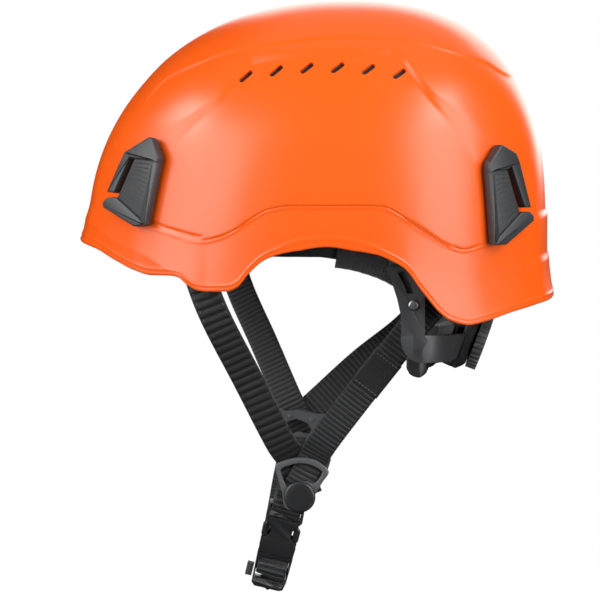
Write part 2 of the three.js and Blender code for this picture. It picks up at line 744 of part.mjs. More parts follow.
const makeJunction = (handed) => {
  const seat = new THREE.Group();
  const out = handed === 'left' ? 1 : -1;
  seat.position.copy(junctions[handed]);
  seat.rotation.set(Math.PI / 2, 0, Math.PI / 2, 'ZXY');
  helmet.add(seat);
  const facing = (geometry) => (out > 0 ? geometry : closed(geometry.scale(1, 1, -1)));
  add(`junction_frame_${handed}`, facing(makeJunctionFrame().translate(0, 0, -1.5)), darkPlastic, seat);
  add(`junction_back_${handed}`, facing(makeJunctionBack().translate(0, 0, -7.6)), greyPlastic, seat);
  add(`junction_button_${handed}`, facing(makeButton().translate(0, 0, 1.8)), darkPlastic, seat);
};

// ---- Side-release buckle, made hanging along -Y from its top edge, facing outwards along Z ------------------
const socket = { mouth: 4.6, cavityTop: -9.5, waist: 16.5 };
const plug = { depth: 6, barLevel: -41.5 };
const buckle = new THREE.Group();
buckle.position.copy(buckleTop);
const widthwise = new THREE.Matrix4().makeBasis(
  new THREE.Vector3(0, 1, 0), new THREE.Vector3(0, 0, 1), new THREE.Vector3(1, 0, 0),
);
const buckleTurn = new THREE.Matrix4().makeRotationY(buckleLean);
buckleTurn.multiply(new THREE.Matrix4().makeRotationX(-buckleTilt));
buckleTurn.multiply(widthwise);
buckle.quaternion.setFromRotationMatrix(buckleTurn);
helmet.add(buckle);

const socketOutline = [
  [-10.6, 0], [-8.8, 0.6], [8.8, 0.6], [10.6, 0], [11, -7.5], [9.4, -9.8], [9.4, -22.5], [10.8, -24.5],
  [10.4, -31.3], [-10.4, -31.3], [-10.8, -24.5], [-9.4, -22.5], [-9.4, -9.8], [-11, -7.5],
];

const makeSocket = () => {
  const half = buckleDepth / 2;
  const body = plate(socketOutline, buckleDepth).translate(0, 0, -half);
  const cavity = block(30, 24, socket.mouth, 0, socket.cavityTop - 12, 0);
  const webbingSlot = block(18.4, 5, 12, 0, -5.1, 0);
  const barFaces = [-1, 1].map((side) => block(18.4, 4, 4, 0, -0.9, side * 4.5));
  const windows = [-1, 1].map((side) => round(5.6, 12, 24).translate(side * 11.6, -socket.waist, 0));
  return cut(body, cavity, webbingSlot, ...barFaces, ...windows);
};

const plugOutline = [
  [-10.7, -31.9], [10.7, -31.9], [10.2, -48], [9.2, -53], [7, -54], [-8, -54], [-10, -52],
];

const makePlug = () => {
  const frame = plate(plugOutline, plug.depth).translate(0, 0, -plug.depth / 2);
  const opening = block(18.4, 14, 12, 0, plug.barLevel, 0);
  const bar = block(19, 2.6, 2.6, 0, plug.barLevel, 0);
  const tongue = plate([[-2.4, -33], [2.4, -33], [2.2, -13.5], [1.2, -12], [-1.2, -12], [-2.2, -13.5]], 3.2);
  return join(cut(frame, opening), bar, tongue.translate(0, 0, -1.6));
};

const prongOutline = [
  [7.3, -31.5], [9.3, -31.5], [9.2, -24], [11.2, -20.5], [11.3, -14.5], [8.6, -11.6], [7.4, -13.5], [7.2, -24],
];

const makeProng = () => plate(prongOutline, 3.6).translate(0, 0, -1.8);

// The short loop of webbing round the socket's top bar, seen along its width: [height, depth].
const loopOutline = [
  [15, 1.9], [9, 2.1], [5.5, 4.6], [-3.4, 4.6], [-4.9, 3.4], [-4.9, -3.4], [-3.4, -4.6], [5.5, -4.6], [9, 0.2],
  [15, 0.2],
];
const loopHollow = [[5, 2.9], [-2.7, 2.9], [-3.2, 2.4], [-3.2, -2.4], [-2.7, -2.9], [5, -2.9], [7.4, 0.6], [7.4, 0.9]];

const makeChinLoop = () => {
  const loop = plate(loopOutline, webbingWidth, [loopHollow]).translate(0, 0, -webbingWidth / 2);
  return loop.applyMatrix4(widthwise);
};

const chinRoute = [[26.5, -24, -188], [21, -23, -180], [3, -19.5, -157], [-24, -17.5, -138], [-43.5, -15, -124]];
const facingUp = [0.7, 0, 0.7];

const makeChinStrap = () => ribbon(chinRoute, [facingSide, facingUp, facingUp], 12);

const makeTailStop = () => block(4, 8.4, 2.6, -12.9, -45.5, -1.5);

const makeLabel = () => ribbon([[71.9, 47.5, -56], [66.5, 32.5, -75]], [facingSide, facingSide], 3, 18.6);

add('shell', makeShell(), orangePlastic);
add('impact_liner', makeLiner(), foam);
add('comfort_pad_crown', makeCrownPad(), blackTextile);
addPair('comfort_pad_side', makePad(62, 104, 0.34, 0.56), blackTextile);
add('comfort_pad_front', makePad(-20, 20, 0.42, 0.6), blackTextile);
add('comfort_pad_rear', makePad(158, 202, 0.45, 0.65), blackTextile);
add('headband', makeHeadband(), blackPlastic);
add('brow_pad', makeBrowPad(), blackTextile);
addPair('strap_bar', makeFrontBar(), blackPlastic);
addPair('cradle_hanger', makeHanger(), greyPlastic);
addPair('cradle_arm', makeArm(), darkPlastic);
addPair('cradle_rivet', makeRivet(), steel);
addPair('cradle_wing', makeWing(), blackPlastic);
add('ratchet_base', makeHousingBase(), blackPlastic);
add('ratchet_cover', makeHousingCover(), greyPlastic);
add('ratchet_dial', makeDial(), darkPlastic);
add('ratchet_pinion', makePinion(), greyPlastic);
add('detent_spring', makeDetentSpring(), steel);
add('rack_left', makeRack(1), blackPlastic);
add('rack_right', makeRack(-1), blackPlastic);
add('nape_pad', makeNapePad(), blackTextile);

for (const [name, route] of Object.entries(strapRoutes)) {
  add(`strap_${name}`, makeStrap(route), blackWebbing);
}
addPair('strap_anchor', makeRearAnchor(), blackPlastic);
add('label_sleeve', makeLabel(), labelCloth);
makeJunction('left');
makeJunction('right');
add('chin_loop', makeChinLoop(), blackWebbing, buckle);
add('buckle_socket', makeSocket(), darkPlastic, buckle);
add('buckle_plug', makePlug(), darkPlastic, buckle);
add('buckle_prong_rear', makeProng(), darkPlastic, buckle);
add('buckle_prong_front', mirrored(makeProng()), darkPlastic, buckle);
add('tail_stop', makeTailStop(), darkPlastic, buckle);
add('chin_strap', makeChinStrap(), blackWebbing);

export default helmet;
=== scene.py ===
"""Studio scene of a climbing and industrial helmet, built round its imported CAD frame."""
import json
import math

import bmesh
import bpy
import numpy as np
from mathutils import Matrix, Vector
from mathutils import noise as unevenness


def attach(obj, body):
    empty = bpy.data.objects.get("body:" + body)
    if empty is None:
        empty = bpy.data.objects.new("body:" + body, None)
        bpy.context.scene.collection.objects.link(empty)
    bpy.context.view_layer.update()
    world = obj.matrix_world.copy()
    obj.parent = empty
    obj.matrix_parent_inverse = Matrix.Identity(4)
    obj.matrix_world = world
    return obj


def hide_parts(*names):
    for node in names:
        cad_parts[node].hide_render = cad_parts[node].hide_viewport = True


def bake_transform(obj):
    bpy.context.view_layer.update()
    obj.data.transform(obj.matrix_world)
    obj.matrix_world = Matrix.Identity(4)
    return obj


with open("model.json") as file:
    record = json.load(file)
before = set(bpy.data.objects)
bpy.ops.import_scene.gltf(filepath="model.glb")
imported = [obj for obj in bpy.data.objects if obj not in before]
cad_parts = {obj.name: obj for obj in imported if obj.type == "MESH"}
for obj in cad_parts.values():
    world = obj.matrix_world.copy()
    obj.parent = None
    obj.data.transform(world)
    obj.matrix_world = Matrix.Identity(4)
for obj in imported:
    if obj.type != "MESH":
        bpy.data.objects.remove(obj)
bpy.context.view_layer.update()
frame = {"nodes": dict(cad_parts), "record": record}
MM = 0.001

# ---- Shell form, in millimetres ----
CENTRE = np.array([0.0, 16.0, 10.0])
CROWN_RISE = 138.8
HALF_WIDTH = 108.0
FRONT_REACH = 150.5
REAR_REACH = 121.5
PLAN_FULLNESS = 2.35
FRONT_FULLNESS = 2.07
SIDE_FULLNESS = 2.35
REAR_FULLNESS = 2.65
ARC = CROWN_RISE * 0.9 * math.pi / 2
WALL = 1.8
PANEL_DEPTH = 2.0
BAND_DEPTH = 0.9
SHELL_COLUMNS = 840
LOWER_CLIMB = 84.0
LOWER_ROWS = 170
UPPER_ROWS = 130
INNER_ROWS = 50
FIRST_CLIMB = 0.9
CROWN_SHARE = 0.9965
EDGE_STEPS = 12
EDGE_DROP = 1.1
SHELL_CREASE = 42
FLAT_BLEND = 5.0
RAMP_ROUNDING = 0.06

# The flare of the brim and of the rear lip: depth, half spread in radians, height above the rim.
BRIM_FLARE, BRIM_SPREAD, BRIM_HEIGHT = 8, 1.15, 24
LIP_FLARE, LIP_SPREAD, LIP_HEIGHT = 3.4, 1.5, 30
# The two ledges over the rear lip as (depth, height above the rim, run), and how far round they reach.
REAR_LEDGES = ((0.9, 27, 5), (1.2, 52, 4))
LEDGE_SPREAD = 0.72

# Raised and sunken detail, as heights above or depths below the dome.
CROWN_STEP = 0.7
FORWARD_RISE = 0.7
GROOVE_DEPTH = 1.1
BAND_BEAD = 0.4
RIM_BEAD = 0.4
UNDERCUT_SLOPE = 0.27
UNDERCUT_DEPTH = 2.6
DIMPLE_DEPTH = 0.55

# Lines on the shell's side as [distance along the helmet, height].
RIM = [
    (-134.5, 8.5), (-124.5, 7.4), (-111.5, 1.6), (-99.8, -3.6), (-88.6, -6.4), (-76.7, -6.5), (-71.3, -7.4),
    (-65.9, -11.8), (-59.9, -14.6), (-54, -15.1), (-43, -14.8), (-37.1, -12.3), (-31.3, -5.5), (-25.1, 0.6),
    (-19.7, 4.1), (-8.6, 7.6), (2.8, 9.3), (14.3, 9.9), (25.1, 9.3), (41.9, 6.9), (52.9, 2.3), (58.5, -1.2),
    (68.6, -14.4), (79.2, -27), (84.4, -30.7), (94.9, -33.5), (105.7, -31.7), (121.6, -27.4), (137.5, -25),
]
PANEL_TOP = [
    (-104, 64), (-88, 73), (-58, 89), (-45, 101), (-36, 112), (-31, 116.5), (20, 121), (49, 121), (55, 118),
    (60, 112), (71, 99), (80, 93), (109, 72), (124, 62),
]
PANEL_EDGE = [
    (-104, 42), (-81, 62), (-60, 82), (-50, 89), (-36, 107), (-30, 113), (20, 118), (48, 118), (55, 114),
    (63, 104), (71, 93), (84, 78), (102, 54), (124, 28),
]
BAND_TOP = [
    (-104, 25), (-90, 21), (-77, 17.5), (-59, 14), (-48, 16), (-39, 20), (-27, 28), (-18, 32.5), (-6, 34.2),
    (37, 34.5), (47, 33.8), (53, 31), (62, 25), (70, 20), (78, 14.5), (85, 11), (93, 9), (104, 11),
    (124, 14),
]
CROWN_EDGE = [
    (-104, 72), (-94, 90), (-82, 103), (-65, 111), (-43, 119), (-21, 123), (19, 127), (40, 127), (62, 124),
    (84, 118), (100, 113), (118, 104),
]
BRIM_EDGE = [(-134, 20), (-128, 18), (-115, 11), (-96, 5), (-79, -3), (-70, -7), (-61, -13), (-50, -30)]

# The flats under the lamp clips: azimuth and lean in degrees, distance from the centre, the clip's place.
FLATS = {
    "front": {"azimuth": -34, "lean": 9, "distance": 126.3, "along": -55.5, "level": 14.2},
    "rear": {"azimuth": 47, "lean": 4, "distance": 118.2, "along": 15.5, "level": 22.7},
}
# The row of vents on each side: spacing along the helmet, height with the bow of the row, tilt in degrees.
VENTS = {
    "count": 6, "first": -33.6, "pitch": 17.4, "level": 106.0, "bow": 6.0, "reach": 82, "tuck": 2.5,
    "slant": 44, "cant": 36, "length": 24, "width": 9.4, "gap": 3.2, "corner": 1.4,
}


def unit(vectors):
    """The vectors scaled to length 1."""
    return vectors / np.linalg.norm(vectors, axis=-1, keepdims=True)


def ease(t):
    """A smooth step from 0 at t = 0 to 1 at t = 1."""
    s = np.clip(t, 0.0, 1.0)
    return s * s * (3 - 2 * s)


def past(value, start, run):
    """A smooth step from 0 to 1 as the value goes from start to start + run."""
    return ease((value - start) / run)


def bead(offset, width):
    """A rounded ridge of height 1 at offset 0."""
    return np.exp(-((offset / width) ** 2))


def soft_ramp(t):
    """A ramp from 0 to 1 that runs a little gentler at its ends, so that a bevel keeps two crisp edges."""
    s = np.clip(t, 0.0, 1.0)
    return s - RAMP_ROUNDING * np.sin(4 * math.pi * s) / math.pi


def smooth_line(points):
    """A line through the points with slopes that never overshoot, sampled finely for np.interp."""
    ys = np.array([p[0] for p in points], float)
    zs = np.array([p[1] for p in points], float)
    slopes = np.diff(zs) / np.diff(ys)
    tangents = np.zeros(len(ys))
    for i in range(1, len(ys) - 1):
        before, after = slopes[i - 1], slopes[i]
        if before * after > 0:
            tangents[i] = 2 * before * after / (before + after)
    fine = np.linspace(ys[0], ys[-1], 1600)
    i = np.clip(np.searchsorted(ys, fine, side="right") - 1, 0, len(ys) - 2)
    span = ys[i + 1] - ys[i]
    t = (fine - ys[i]) / span
    a, b = tangents[i] * span, tangents[i + 1] * span
    rise = zs[i + 1] - zs[i]
    return fine, zs[i] + a * t + (3 * rise - 2 * a - b) * t**2 + (a + b - 2 * rise) * t**3


LINES = {
    name: smooth_line(points)
    for name, points in {
        "rim": RIM, "panel_top": PANEL_TOP, "panel_edge": PANEL_EDGE,
        "band_top": BAND_TOP, "crown_edge": CROWN_EDGE, "brim_edge": BRIM_EDGE,
    }.items()
}


def line_height(name, y):
    """Height of a named line at a distance along the helmet."""
    return np.interp(y, *LINES[name])


def plan_reach(azimuth):
    """Radius of the shell's plan, a rounded oval, longer at the front than at the back."""
    along = np.where(np.cos(azimuth) > 0, FRONT_REACH, REAR_REACH)
    side = np.abs(np.sin(azimuth)) / HALF_WIDTH
    length = np.abs(np.cos(azimuth)) / along
    return (side**PLAN_FULLNESS + length**PLAN_FULLNESS) ** (-1 / PLAN_FULLNESS)


def fullness(azimuth):
    """How squarely the dome's profile rounds over, seen at an azimuth from the front."""
    lengthwise = np.cos(azimuth) ** 2
    end = np.where(np.cos(azimuth) > 0, FRONT_FULLNESS, REAR_FULLNESS)
    return SIDE_FULLNESS + (end - SIDE_FULLNESS) * lengthwise


def rim_level(azimuth):
    """Height of the rim at an azimuth."""
    return line_height("rim", CENTRE[1] - plan_reach(azimuth) * np.cos(azimuth))


def dome_point(azimuth, climb):
    """A point of the plain dome, climb millimetres up the wall from the rim."""
    reach = plan_reach(azimuth)
    rim = rim_level(azimuth)
    wall = CENTRE[2] - rim
    power = 2 / fullness(azimuth)
    turn = np.clip((climb - wall) / ARC, 0, 1) * math.pi / 2
    height = np.where(climb < wall, rim + climb, CENTRE[2] + CROWN_RISE * np.sin(turn) ** power)
    forward = np.abs(np.arctan2(np.sin(azimuth), np.cos(azimuth)))
    above = np.maximum(height - rim, 0)
    brim = BRIM_FLARE * ease(1 - forward / BRIM_SPREAD) * np.maximum(1 - above / BRIM_HEIGHT, 0) ** 2
    behind = math.pi - forward
    lip = LIP_FLARE * ease(LIP_SPREAD - behind) * np.maximum(1 - above / LIP_HEIGHT, 0) ** 2
    ledges = sum(depth * ease((level - above) / run) for depth, level, run in REAR_LEDGES)
    lip = lip + ledges * ease((LEDGE_SPREAD - behind) / 0.3)
    radius = reach * np.maximum(np.cos(turn), 0) ** power + brim + lip
    return np.stack([
        CENTRE[0] + np.sin(azimuth) * radius, CENTRE[1] - np.cos(azimuth) * radius, height,
    ], axis=-1)


def full_climb(azimuth):
    """Length of the climb from the rim to the very top."""
    return CENTRE[2] - rim_level(azimuth) + ARC


def dome_normal(azimuth, climb):
    """The outward normal of the plain dome, and straight up at its very top."""
    turn, rise = 0.01, 0.5
    up = dome_point(azimuth, climb + rise) - dome_point(azimuth, climb - rise)
    along = dome_point(azimuth + turn, climb) - dome_point(azimuth - turn, climb)
    normal = np.cross(along, up)
    length = np.linalg.norm(normal, axis=-1, keepdims=True)
    normal = np.where(length > 1e-4, normal / np.maximum(length, 1e-9), [0.0, 0.0, 1.0])
    top = past(climb - full_climb(azimuth), -6, 5)[..., None]
    normal = normal * (1 - top) + np.array([0.0, 0.0, 1.0]) * top
    return unit(normal)


def flat_normal(flat, side):
    """The outward normal of one flat, on the side given as 1 or -1."""
    turn, tip = math.radians(flat["azimuth"]), math.radians(flat["lean"])
    return np.array([side * math.cos(turn) * math.cos(tip), math.sin(turn) * math.cos(tip), math.sin(tip)])


def onto_flats(points, inset=0.0):
    """Presses points that stand out past the flats back onto them, with a soft margin."""
    proud, reach, run = 0.9, 14, 12
    for flat in FLATS.values():
        for side in (1, -1):
            normal = flat_normal(flat, side)
            outside = (points - CENTRE) @ normal - flat["distance"] + inset - proud
            eased = (outside + np.sqrt(outside**2 + FLAT_BLEND**2)) / 2
            points = points - (eased * past(outside, -reach, run))[..., None] * normal
    return points


def vent_centre(number, side):
    """Middle of one vent; the row bows down and inwards towards its two ends."""
    middle = (VENTS["count"] - 1) / 2
    off = (number - middle) / (VENTS["count"] / 2)
    level = VENTS["level"] + VENTS["bow"] * (1 - off * off)
    across = VENTS["reach"] - VENTS["tuck"] * off * off
    return np.array([side * across, VENTS["first"] + number * VENTS["pitch"], level])


def panel_relief(x, y, z):
    """The sunken side panel under its sloping bevel, and the raised field over the crown."""
    top, edge = line_height("panel_top", y), line_height("panel_edge", y)
    bevel = soft_ramp((top - z) / np.maximum(top - edge, 2.2))
    crown = past(z - line_height("crown_edge", y), -0.7, 1.4)
    return CROWN_STEP * crown * past(y, -104, 20) - PANEL_DEPTH * bevel * past(x, 38, 16)


def band_relief(x, y, z):
    """The sunken band above the rim: its step, the groove at the front and the fine bead along its top."""
    below = line_height("band_top", y) - z
    forward = past(-y, 54, 10) * past(y, -112, 12)
    step = (BAND_DEPTH - FORWARD_RISE * forward) * past(below, -0.45, 0.9)
    groove = GROOVE_DEPTH * forward * bead(below + 1.5, 1.2)
    return (BAND_BEAD * bead(below - 1.4, 0.65) - step - groove) * past(x, 50, 20)


def shell_relief(points, climb):
    """Height of the moulded detail above the plain dome: panels, steps, beads and vent dimples."""
    x, y, z = np.abs(points[..., 0]), points[..., 1], points[..., 2]
    relief = panel_relief(x, y, z) + band_relief(x, y, z)
    under_brim = line_height("brim_edge", y) - z
    relief -= np.clip(under_brim * UNDERCUT_SLOPE, 0, UNDERCUT_DEPTH) * past(-y, 54, 5)
    relief += RIM_BEAD * bead(climb - 3.2, 0.7)
    for side in (1, -1):
        for number in range(VENTS["count"]):
            away = points - vent_centre(number, side) - np.array([side * 0.5, 2.5, -2.5])
            relief -= DIMPLE_DEPTH * np.exp(-(np.sum(away**2, axis=-1) / 16))
    return relief


def place_object(name, data):
    """Puts a mesh, light or camera into the scene."""
    placed = bpy.data.objects.new(name, data)
    bpy.context.collection.objects.link(placed)
    return placed


def copy_of_node(node, name, material):
    """A piece with the shape of a CAD node and a material of its own."""
    source = frame["nodes"][node]
    mesh = source.data.copy()
    mesh.transform(source.matrix_world)
    mesh.materials.clear()
    mesh.materials.append(material)
    return place_object(name, mesh)


def tidy_normals(piece, sharp):
    """Joins doubled vertices, turns all faces outwards and shades smooth up to an angle in degrees."""
    work = bmesh.new()
    work.from_mesh(piece.data)
    bmesh.ops.remove_doubles(work, verts=work.verts, dist=2e-6)
    bmesh.ops.recalc_face_normals(work, faces=work.faces)
    work.to_mesh(piece.data)
    work.free()
    piece.data.shade_smooth()
    piece.data.set_sharp_from_angle(angle=math.radians(sharp))


def bake(piece):
    """Applies the piece's modifiers to its mesh."""
    depsgraph = bpy.context.evaluated_depsgraph_get()
    depsgraph.update()
    made = bpy.data.meshes.new_from_object(piece.evaluated_get(depsgraph))
    piece.modifiers.clear()
    piece.data = made


def rows_to_faces(rows, columns):
    """Quads over a grid of rows, each a closed ring of so many columns."""
    faces = []
    for j in range(rows - 1):
        for i in range(columns):
            k = (i + 1) % columns
            faces.append((j * columns + i, j * columns + k, (j + 1) * columns + k, (j + 1) * columns + i))
    return faces


# ---- Materials ----
def new_material(name, color, roughness, **sockets):
    """A plain surface; further sockets are given by name with underscores for spaces."""
    material = bpy.data.materials.new(name)
    material.use_nodes = True
    shader = material.node_tree.nodes["Principled BSDF"]
    shader.inputs["Base Color"].default_value = (*color, 1)
    shader.inputs["Roughness"].default_value = roughness
    for socket, value in sockets.items():
        shader.inputs[socket.replace("_", " ")].default_value = value
    return material, material.node_tree, shader


def add_node(tree, kind, **settings):
    """A shader node with its sockets or its own settings filled in."""
    node = tree.nodes.new(kind)
    for key, value in settings.items():
        if key in node.inputs:
            node.inputs[key].default_value = value
        else:
            setattr(node, key, value)
    return node


def coordinates(tree, source="Object"):
    """Places on the object itself in metres, or along a strap in millimetres with UV."""
    return add_node(tree, "ShaderNodeTexCoord").outputs[source]


def noise(tree, vector, scale, detail=3.0):
    texture = add_node(tree, "ShaderNodeTexNoise", Scale=scale, Detail=detail)
    tree.links.new(vector, texture.inputs["Vector"])
    return texture.outputs["Fac"]


def bump(tree, shader, height, distance, strength, after=None):
    """Fine relief in the surface, in metres, laid over an earlier one where that is given."""
    relief = add_node(tree, "ShaderNodeBump", Distance=distance, Strength=strength)
    tree.links.new(height, relief.inputs["Height"])
    if after:
        tree.links.new(after, relief.inputs["Normal"])
    tree.links.new(relief.outputs["Normal"], shader.inputs["Normal"])
    return relief.outputs["Normal"]


def vary_color(tree, shader, factor, low, high, first=0.3, last=0.7):
    """Colour running from low to high as the factor goes from first to last."""
    ramp = add_node(tree, "ShaderNodeValToRGB")
    for stop, place, color in zip(ramp.color_ramp.elements, (first, last), (low, high)):
        stop.position = place
        stop.color = (*color, 1)
    tree.links.new(factor, ramp.inputs["Fac"])
    tree.links.new(ramp.outputs["Color"], shader.inputs["Base Color"])


def vary_roughness(tree, shader, factor, low, high):
    """Roughness running from low to high with the factor."""
    spread = add_node(tree, "ShaderNodeMapRange")
    spread.inputs["To Min"].default_value = low
    spread.inputs["To Max"].default_value = high
    tree.links.new(factor, spread.inputs["Value"])
    tree.links.new(spread.outputs["Result"], shader.inputs["Roughness"])


def shell_plastic():
    """Injection-moulded orange shell: satin gloss with a very faint ripple."""
    material, tree, shader = new_material(
        "orange_shell_plastic", (0.62, 0.072, 0.0018), 0.31, Specular_IOR_Level=0.45,
    )
    place = coordinates(tree)
    ripple = noise(tree, place, 160, 2)
    grain = noise(tree, place, 2600, 2)
    first = bump(tree, shader, ripple, 0.00006, 0.2)
    bump(tree, shader, grain, 0.000006, 0.12, first)
    cloud = noise(tree, place, 24, 1)
    vary_color(tree, shader, cloud, (0.615, 0.072, 0.0016), (0.625, 0.0735, 0.0018))
    vary_roughness(tree, shader, cloud, 0.30, 0.32)
    return material


def moulded_plastic(name, color, roughness):
    """Spark-eroded black nylon: a fine leathery grain, rubbed paler on its outer edges."""
    material, tree, shader = new_material(name, color, roughness, Specular_IOR_Level=0.5)
    place = coordinates(tree)
    grain = noise(tree, place, 2400, 4)
    wave = noise(tree, place, 420, 2)
    first = bump(tree, shader, wave, 0.00008, 0.35)
    bump(tree, shader, grain, 0.00004, 0.5, first)
    rub = add_node(tree, "ShaderNodeNewGeometry")
    vary_color(tree, shader, rub.outputs["Pointiness"], color, [c * 1.6 + 0.004 for c in color], 0.5, 0.62)
    vary_roughness(tree, shader, grain, roughness - 0.06, roughness + 0.12)
    return material


# A wave texture of scale 1 repeats every pi / 10 units.
WAVE_PERIOD = math.pi / 10
YARN_ALONG = 0.9
YARN_ACROSS = 1.1


def webbing_cloth(name, color, pitch, glint, yarn_depth=0.00016):
    """Polyester webbing, over its own length in millimetres: crossing yarns, rib crests with a painted
    highlight and painted shade between the ribs.
    """
    material, tree, shader = new_material(name, color, 0.5, Specular_IOR_Level=0.3, Sheen_Weight=0.04)
    place = coordinates(tree, "UV")
    waves = []
    for direction, spacing, wander in (("X", pitch, 0.4), ("X", YARN_ALONG, 1.2), ("Y", YARN_ACROSS, 1.2)):
        wave = add_node(tree, "ShaderNodeTexWave", bands_direction=direction, Scale=WAVE_PERIOD / spacing,
                        Distortion=wander)
        wave.inputs["Detail Scale"].default_value = 1.0
        tree.links.new(place, wave.inputs["Vector"])
        waves.append(wave)
    crest, lengthwise, crosswise = waves
    crest.inputs["Phase Offset"].default_value = math.pi
    yarns = add_node(tree, "ShaderNodeMath", operation="MULTIPLY")
    tree.links.new(lengthwise.outputs["Fac"], yarns.inputs[0])
    tree.links.new(crosswise.outputs["Fac"], yarns.inputs[1])
    bump(tree, shader, yarns.outputs["Value"], yarn_depth, 0.8)
    # The colour below is painted light: a painted highlight on the narrow rib crests, up to glint times the
    # base colour, and painted shade of half the base colour between the ribs. The crossing yarns add their
    # own tone.
    narrow = add_node(tree, "ShaderNodeMath", operation="POWER")
    narrow.inputs[1].default_value = 3.0
    tree.links.new(crest.outputs["Fac"], narrow.inputs[0])
    crest_highlight_and_yarn_tone = add_node(tree, "ShaderNodeMath", operation="MULTIPLY_ADD")
    crest_highlight_and_yarn_tone.inputs[1].default_value = 0.8
    tree.links.new(narrow.outputs["Value"], crest_highlight_and_yarn_tone.inputs[0])
    tree.links.new(yarns.outputs["Value"], crest_highlight_and_yarn_tone.inputs[2])
    vary_color(tree, shader, crest_highlight_and_yarn_tone.outputs["Value"], [c * 0.5 for c in color], [c * glint for c in color])
    return material


def knit_cloth(name, color):
    """Brushed knit over foam: small loops with a soft nap."""
    material, tree, shader = new_material(name, color, 0.9, Sheen_Weight=0.35, Sheen_Roughness=0.6)
    place = coordinates(tree)
    loops = add_node(tree, "ShaderNodeTexVoronoi", Scale=900.0)
    tree.links.new(place, loops.inputs["Vector"])
    fuzz = noise(tree, place, 2200, 4)
    first = bump(tree, shader, loops.outputs["Distance"], 0.0004, 0.8)
    bump(tree, shader, fuzz, 0.0002, 0.5, first)
    vary_color(tree, shader, fuzz, [c * 0.6 for c in color], [c * 1.6 for c in color])
    return material


def bead_foam():
    """Moulded bead foam: faint polygonal beads under a matt skin."""
    material, tree, shader = new_material("liner_bead_foam", (0.012, 0.012, 0.013), 0.85)
    place = coordinates(tree)
    beads = add_node(tree, "ShaderNodeTexVoronoi", Scale=330.0)
    tree.links.new(place, beads.inputs["Vector"])
    bump(tree, shader, beads.outputs["Distance"], 0.0005, 0.6)
    vary_color(tree, shader, beads.outputs["Distance"], (0.014, 0.014, 0.015), (0.006, 0.006, 0.0066))
    return material


def bright_steel():
    """Brushed steel of the rivets and the spring."""
    material, tree, shader = new_material("rivet_steel", (0.42, 0.43, 0.45), 0.34, Metallic=1.0)
    place = coordinates(tree)
    scratches = noise(tree, place, 1500, 6)
    bump(tree, shader, scratches, 0.00003, 0.5)
    vary_roughness(tree, shader, scratches, 0.26, 0.46)
    return material


def thread_cotton():
    """Dark sewing thread."""
    material, tree, shader = new_material("sewing_thread", (0.05, 0.05, 0.053), 0.7, Sheen_Weight=0.2)
    place = coordinates(tree)
    bump(tree, shader, noise(tree, place, 3500, 2), 0.0001, 0.6)
    return material


ORANGE = shell_plastic()
DARK = moulded_plastic("dark_grained_nylon", (0.020, 0.0205, 0.022), 0.42)
CLIP = moulded_plastic("clip_grained_nylon", (0.019, 0.0196, 0.021), 0.42)
BLACK = moulded_plastic("black_nylon", (0.0075, 0.0077, 0.0085), 0.38)
GREY = moulded_plastic("grey_nylon", (0.045, 0.046, 0.049), 0.42)
# The last number of each webbing sets the painted highlight on its rib crests.
WEBBING_COARSE = webbing_cloth("black_webbing_coarse_rib", (0.0034, 0.0034, 0.0037), 4.8, 6.0)
WEBBING_FINE = webbing_cloth("black_webbing_fine_rib", (0.0042, 0.0043, 0.0046), 2.9, 7.0)
LABEL = webbing_cloth("woven_label_cloth", (0.010, 0.0102, 0.0112), 1.2, 1.5, 0.00005)
KNIT = knit_cloth("black_brushed_knit", (0.006, 0.006, 0.0065))
FOAM = bead_foam()
STEEL = bright_steel()
THREAD = thread_cotton()


# ---- Shell ----
def outer_skin(azimuths):
    """Rows of points down the outside of the shell, from the crown to the rim."""
    upper = np.linspace(0, 1, UPPER_ROWS, endpoint=False)[:, None]
    lower = np.linspace(LOWER_CLIMB, FIRST_CLIMB, LOWER_ROWS)[:, None]
    top = full_climb(azimuths)[None, :] * CROWN_SHARE
    climb = np.concatenate([top + (LOWER_CLIMB - top) * upper, lower + 0 * top])
    azimuth = np.tile(azimuths, (len(climb), 1))
    base = dome_point(azimuth, climb)
    relief = shell_relief(base, climb)
    return onto_flats(base + dome_normal(azimuth, climb) * relief[..., None])


def inner_skin(azimuths):
    """Rows of points up the inside, smooth but never closer to the outside than the wall is thick."""
    azimuth = np.tile(azimuths, (INNER_ROWS, 1))
    share = np.linspace(0.0, CROWN_SHARE, INNER_ROWS)[:, None]
    climb = share * (full_climb(azimuths) - FIRST_CLIMB)[None, :] + FIRST_CLIMB
    base = dome_point(azimuth, climb)
    depth = WALL + (PANEL_DEPTH + BAND_DEPTH) * past(climb, 2, 16)
    depth = np.maximum(depth, WALL - shell_relief(base, climb))
    return onto_flats(base - dome_normal(azimuth, climb) * depth[..., None], WALL)


